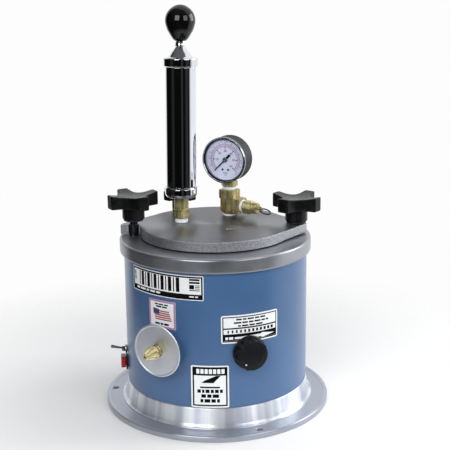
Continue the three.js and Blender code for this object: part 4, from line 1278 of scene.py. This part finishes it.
def studio_floor():
    """A pale floor that fades into the background a good way off."""
    s = Shading("pale_floor")
    spot = s("ShaderNodeTexCoord").outputs["Object"]
    far = s.vector("LENGTH", spot, output="Value")
    mottle = s("ShaderNodeTexNoise", {"Vector": spot, "Scale": 3.0, "Detail": 3.0}).outputs["Fac"]
    shade = s.blend(s.ramp(mottle, 0.3, 0.7), (0.9, 0.9, 0.9), (0.93, 0.93, 0.93))
    solid = s("ShaderNodeBsdfDiffuse", {"Color": shade}).outputs[0]
    clear = s("ShaderNodeBsdfTransparent", {"Color": (1, 1, 1, 1)}).outputs[0]
    fade = s.ramp(far, *FLOOR_FADE)
    s("ShaderNodeOutputMaterial", {"Surface": s("ShaderNodeMixShader",
                                                {0: fade, 1: solid, 2: clear}).outputs[0]})
    bm = bmesh.new()
    bmesh.ops.create_grid(bm, x_segments=8, y_segments=8, size=1.5)
    mesh = bpy.data.meshes.new("floor")
    bm.to_mesh(mesh)
    mesh.materials.append(s.material)
    floor = linked("floor", mesh)
    floor.location.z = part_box("base_flange")[0].z


LIT_SPOT = Vector((0, 0, 0.2))  # the middle of the pot, in metres
LIGHTS = (  # name, azimuth, elevation, distance, size, power, and whether reflections show it
    ("key_light", -24, 28, 1.5, 0.8, 11, True),
    ("side_light", 103, 22, 1.4, 0.8, 9.5, True),
    ("front_fill", 12, 24, 1.9, 1.2, 7, False),
    ("right_light", 43, 25, 1.5, 0.8, 7, True),
)


def soft_box(name, azimuth, elevation, distance, size, power, glossy):
    """A square area light that looks at the middle of the pot."""
    data = bpy.data.lights.new(name, "AREA")
    data.energy, data.size, data.shape = power, size, "SQUARE"
    light = linked(name, data)
    a, e = radians(azimuth), radians(elevation)
    back = Vector((sin(a) * cos(e), -cos(a) * cos(e), sin(e)))
    light.location = LIT_SPOT + back * distance
    light.rotation_mode = "QUATERNION"
    light.rotation_quaternion = back.to_track_quat("Z", "Y")
    light.visible_glossy = glossy


BRIGHT_SIDE = 151.5  # the azimuth of the middle of the bright half, in degrees
PANELS = ((12, 9, 0.035), (-58, 16, 0.02), (48, 16, 0.03))  # azimuth, half width and strength of faint glows


def surroundings():
    """A white background to look at, and a light that is bright at the back right and dark in front."""
    world = bpy.data.worlds.new("studio")
    add = Nodes(world)
    way = add("ShaderNodeTexCoord").outputs["Generated"]
    height = add("ShaderNodeSeparateXYZ", {0: way}).outputs["Z"]
    level = add.vector("NORMALIZE", add.vector("MULTIPLY", way, (1, 1, 0)))

    def along(azimuth):
        way_there = (sin(radians(azimuth)), -cos(radians(azimuth)), 0)
        return add.vector("DOT_PRODUCT", level, way_there, output="Value")

    def glowing(value, low, high, dim, bright):
        return add.ramp(value, low, high, dim, bright, interpolation_type="SMOOTHSTEP")

    light = glowing(along(BRIGHT_SIDE), 0.06, 0.4, 0.003, 1.0)
    overhead = glowing(height, 0.35, 0.85, 0.0, 0.12)
    panels = [glowing(along(azimuth), cos(radians(half_width)), 1, 0, strength)
              for azimuth, half_width, strength in PANELS]
    for glow in (overhead, *panels):
        light = add("ShaderNodeMath", {0: light, 1: glow}, operation="MAXIMUM").outputs[0]
    lighting = add("ShaderNodeBackground", {"Color": (0.97, 0.985, 1, 1), "Strength": light}).outputs[0]
    backdrop = add("ShaderNodeBackground", {"Color": (0.985, 0.985, 0.985, 1), "Strength": 1.0}).outputs[0]
    seen = add("ShaderNodeLightPath").outputs["Is Camera Ray"]
    mixed = add("ShaderNodeMixShader", {0: seen, 1: lighting, 2: backdrop}).outputs[0]
    add("ShaderNodeOutputWorld", {"Surface": mixed})
    bpy.context.scene.world = world


CAMERA_LENS, CAMERA_SENSOR = 78.93, 36  # in millimetres
CAMERA_TURNS = (0.593, 14.026, -0.616)  # yaw, pitch down and roll, in degrees
CAMERA_SPOT = (0, -1.0631, 0.4666)  # in metres


def camera():
    data = bpy.data.cameras.new("camera")
    data.lens, data.sensor_width = CAMERA_LENS, CAMERA_SENSOR
    made = linked("camera", data)
    yaw, pitch, roll = (radians(turn) for turn in CAMERA_TURNS)
    forward = Vector((sin(yaw) * cos(pitch), cos(yaw) * cos(pitch), -sin(pitch)))
    right = Vector((cos(yaw), -sin(yaw), 0))
    up = right.cross(forward)
    side = right * cos(roll) + up * sin(roll)
    top = up * cos(roll) - right * sin(roll)
    turned_to = Matrix((side, top, -forward)).transposed().to_4x4()
    made.matrix_world = Matrix.Translation(CAMERA_SPOT) @ turned_to
    bpy.context.scene.camera = made


camera()
studio_floor()
surroundings()
for row in LIGHTS:
    soft_box(*row)
bpy.context.scene.view_settings.view_transform = "Standard"
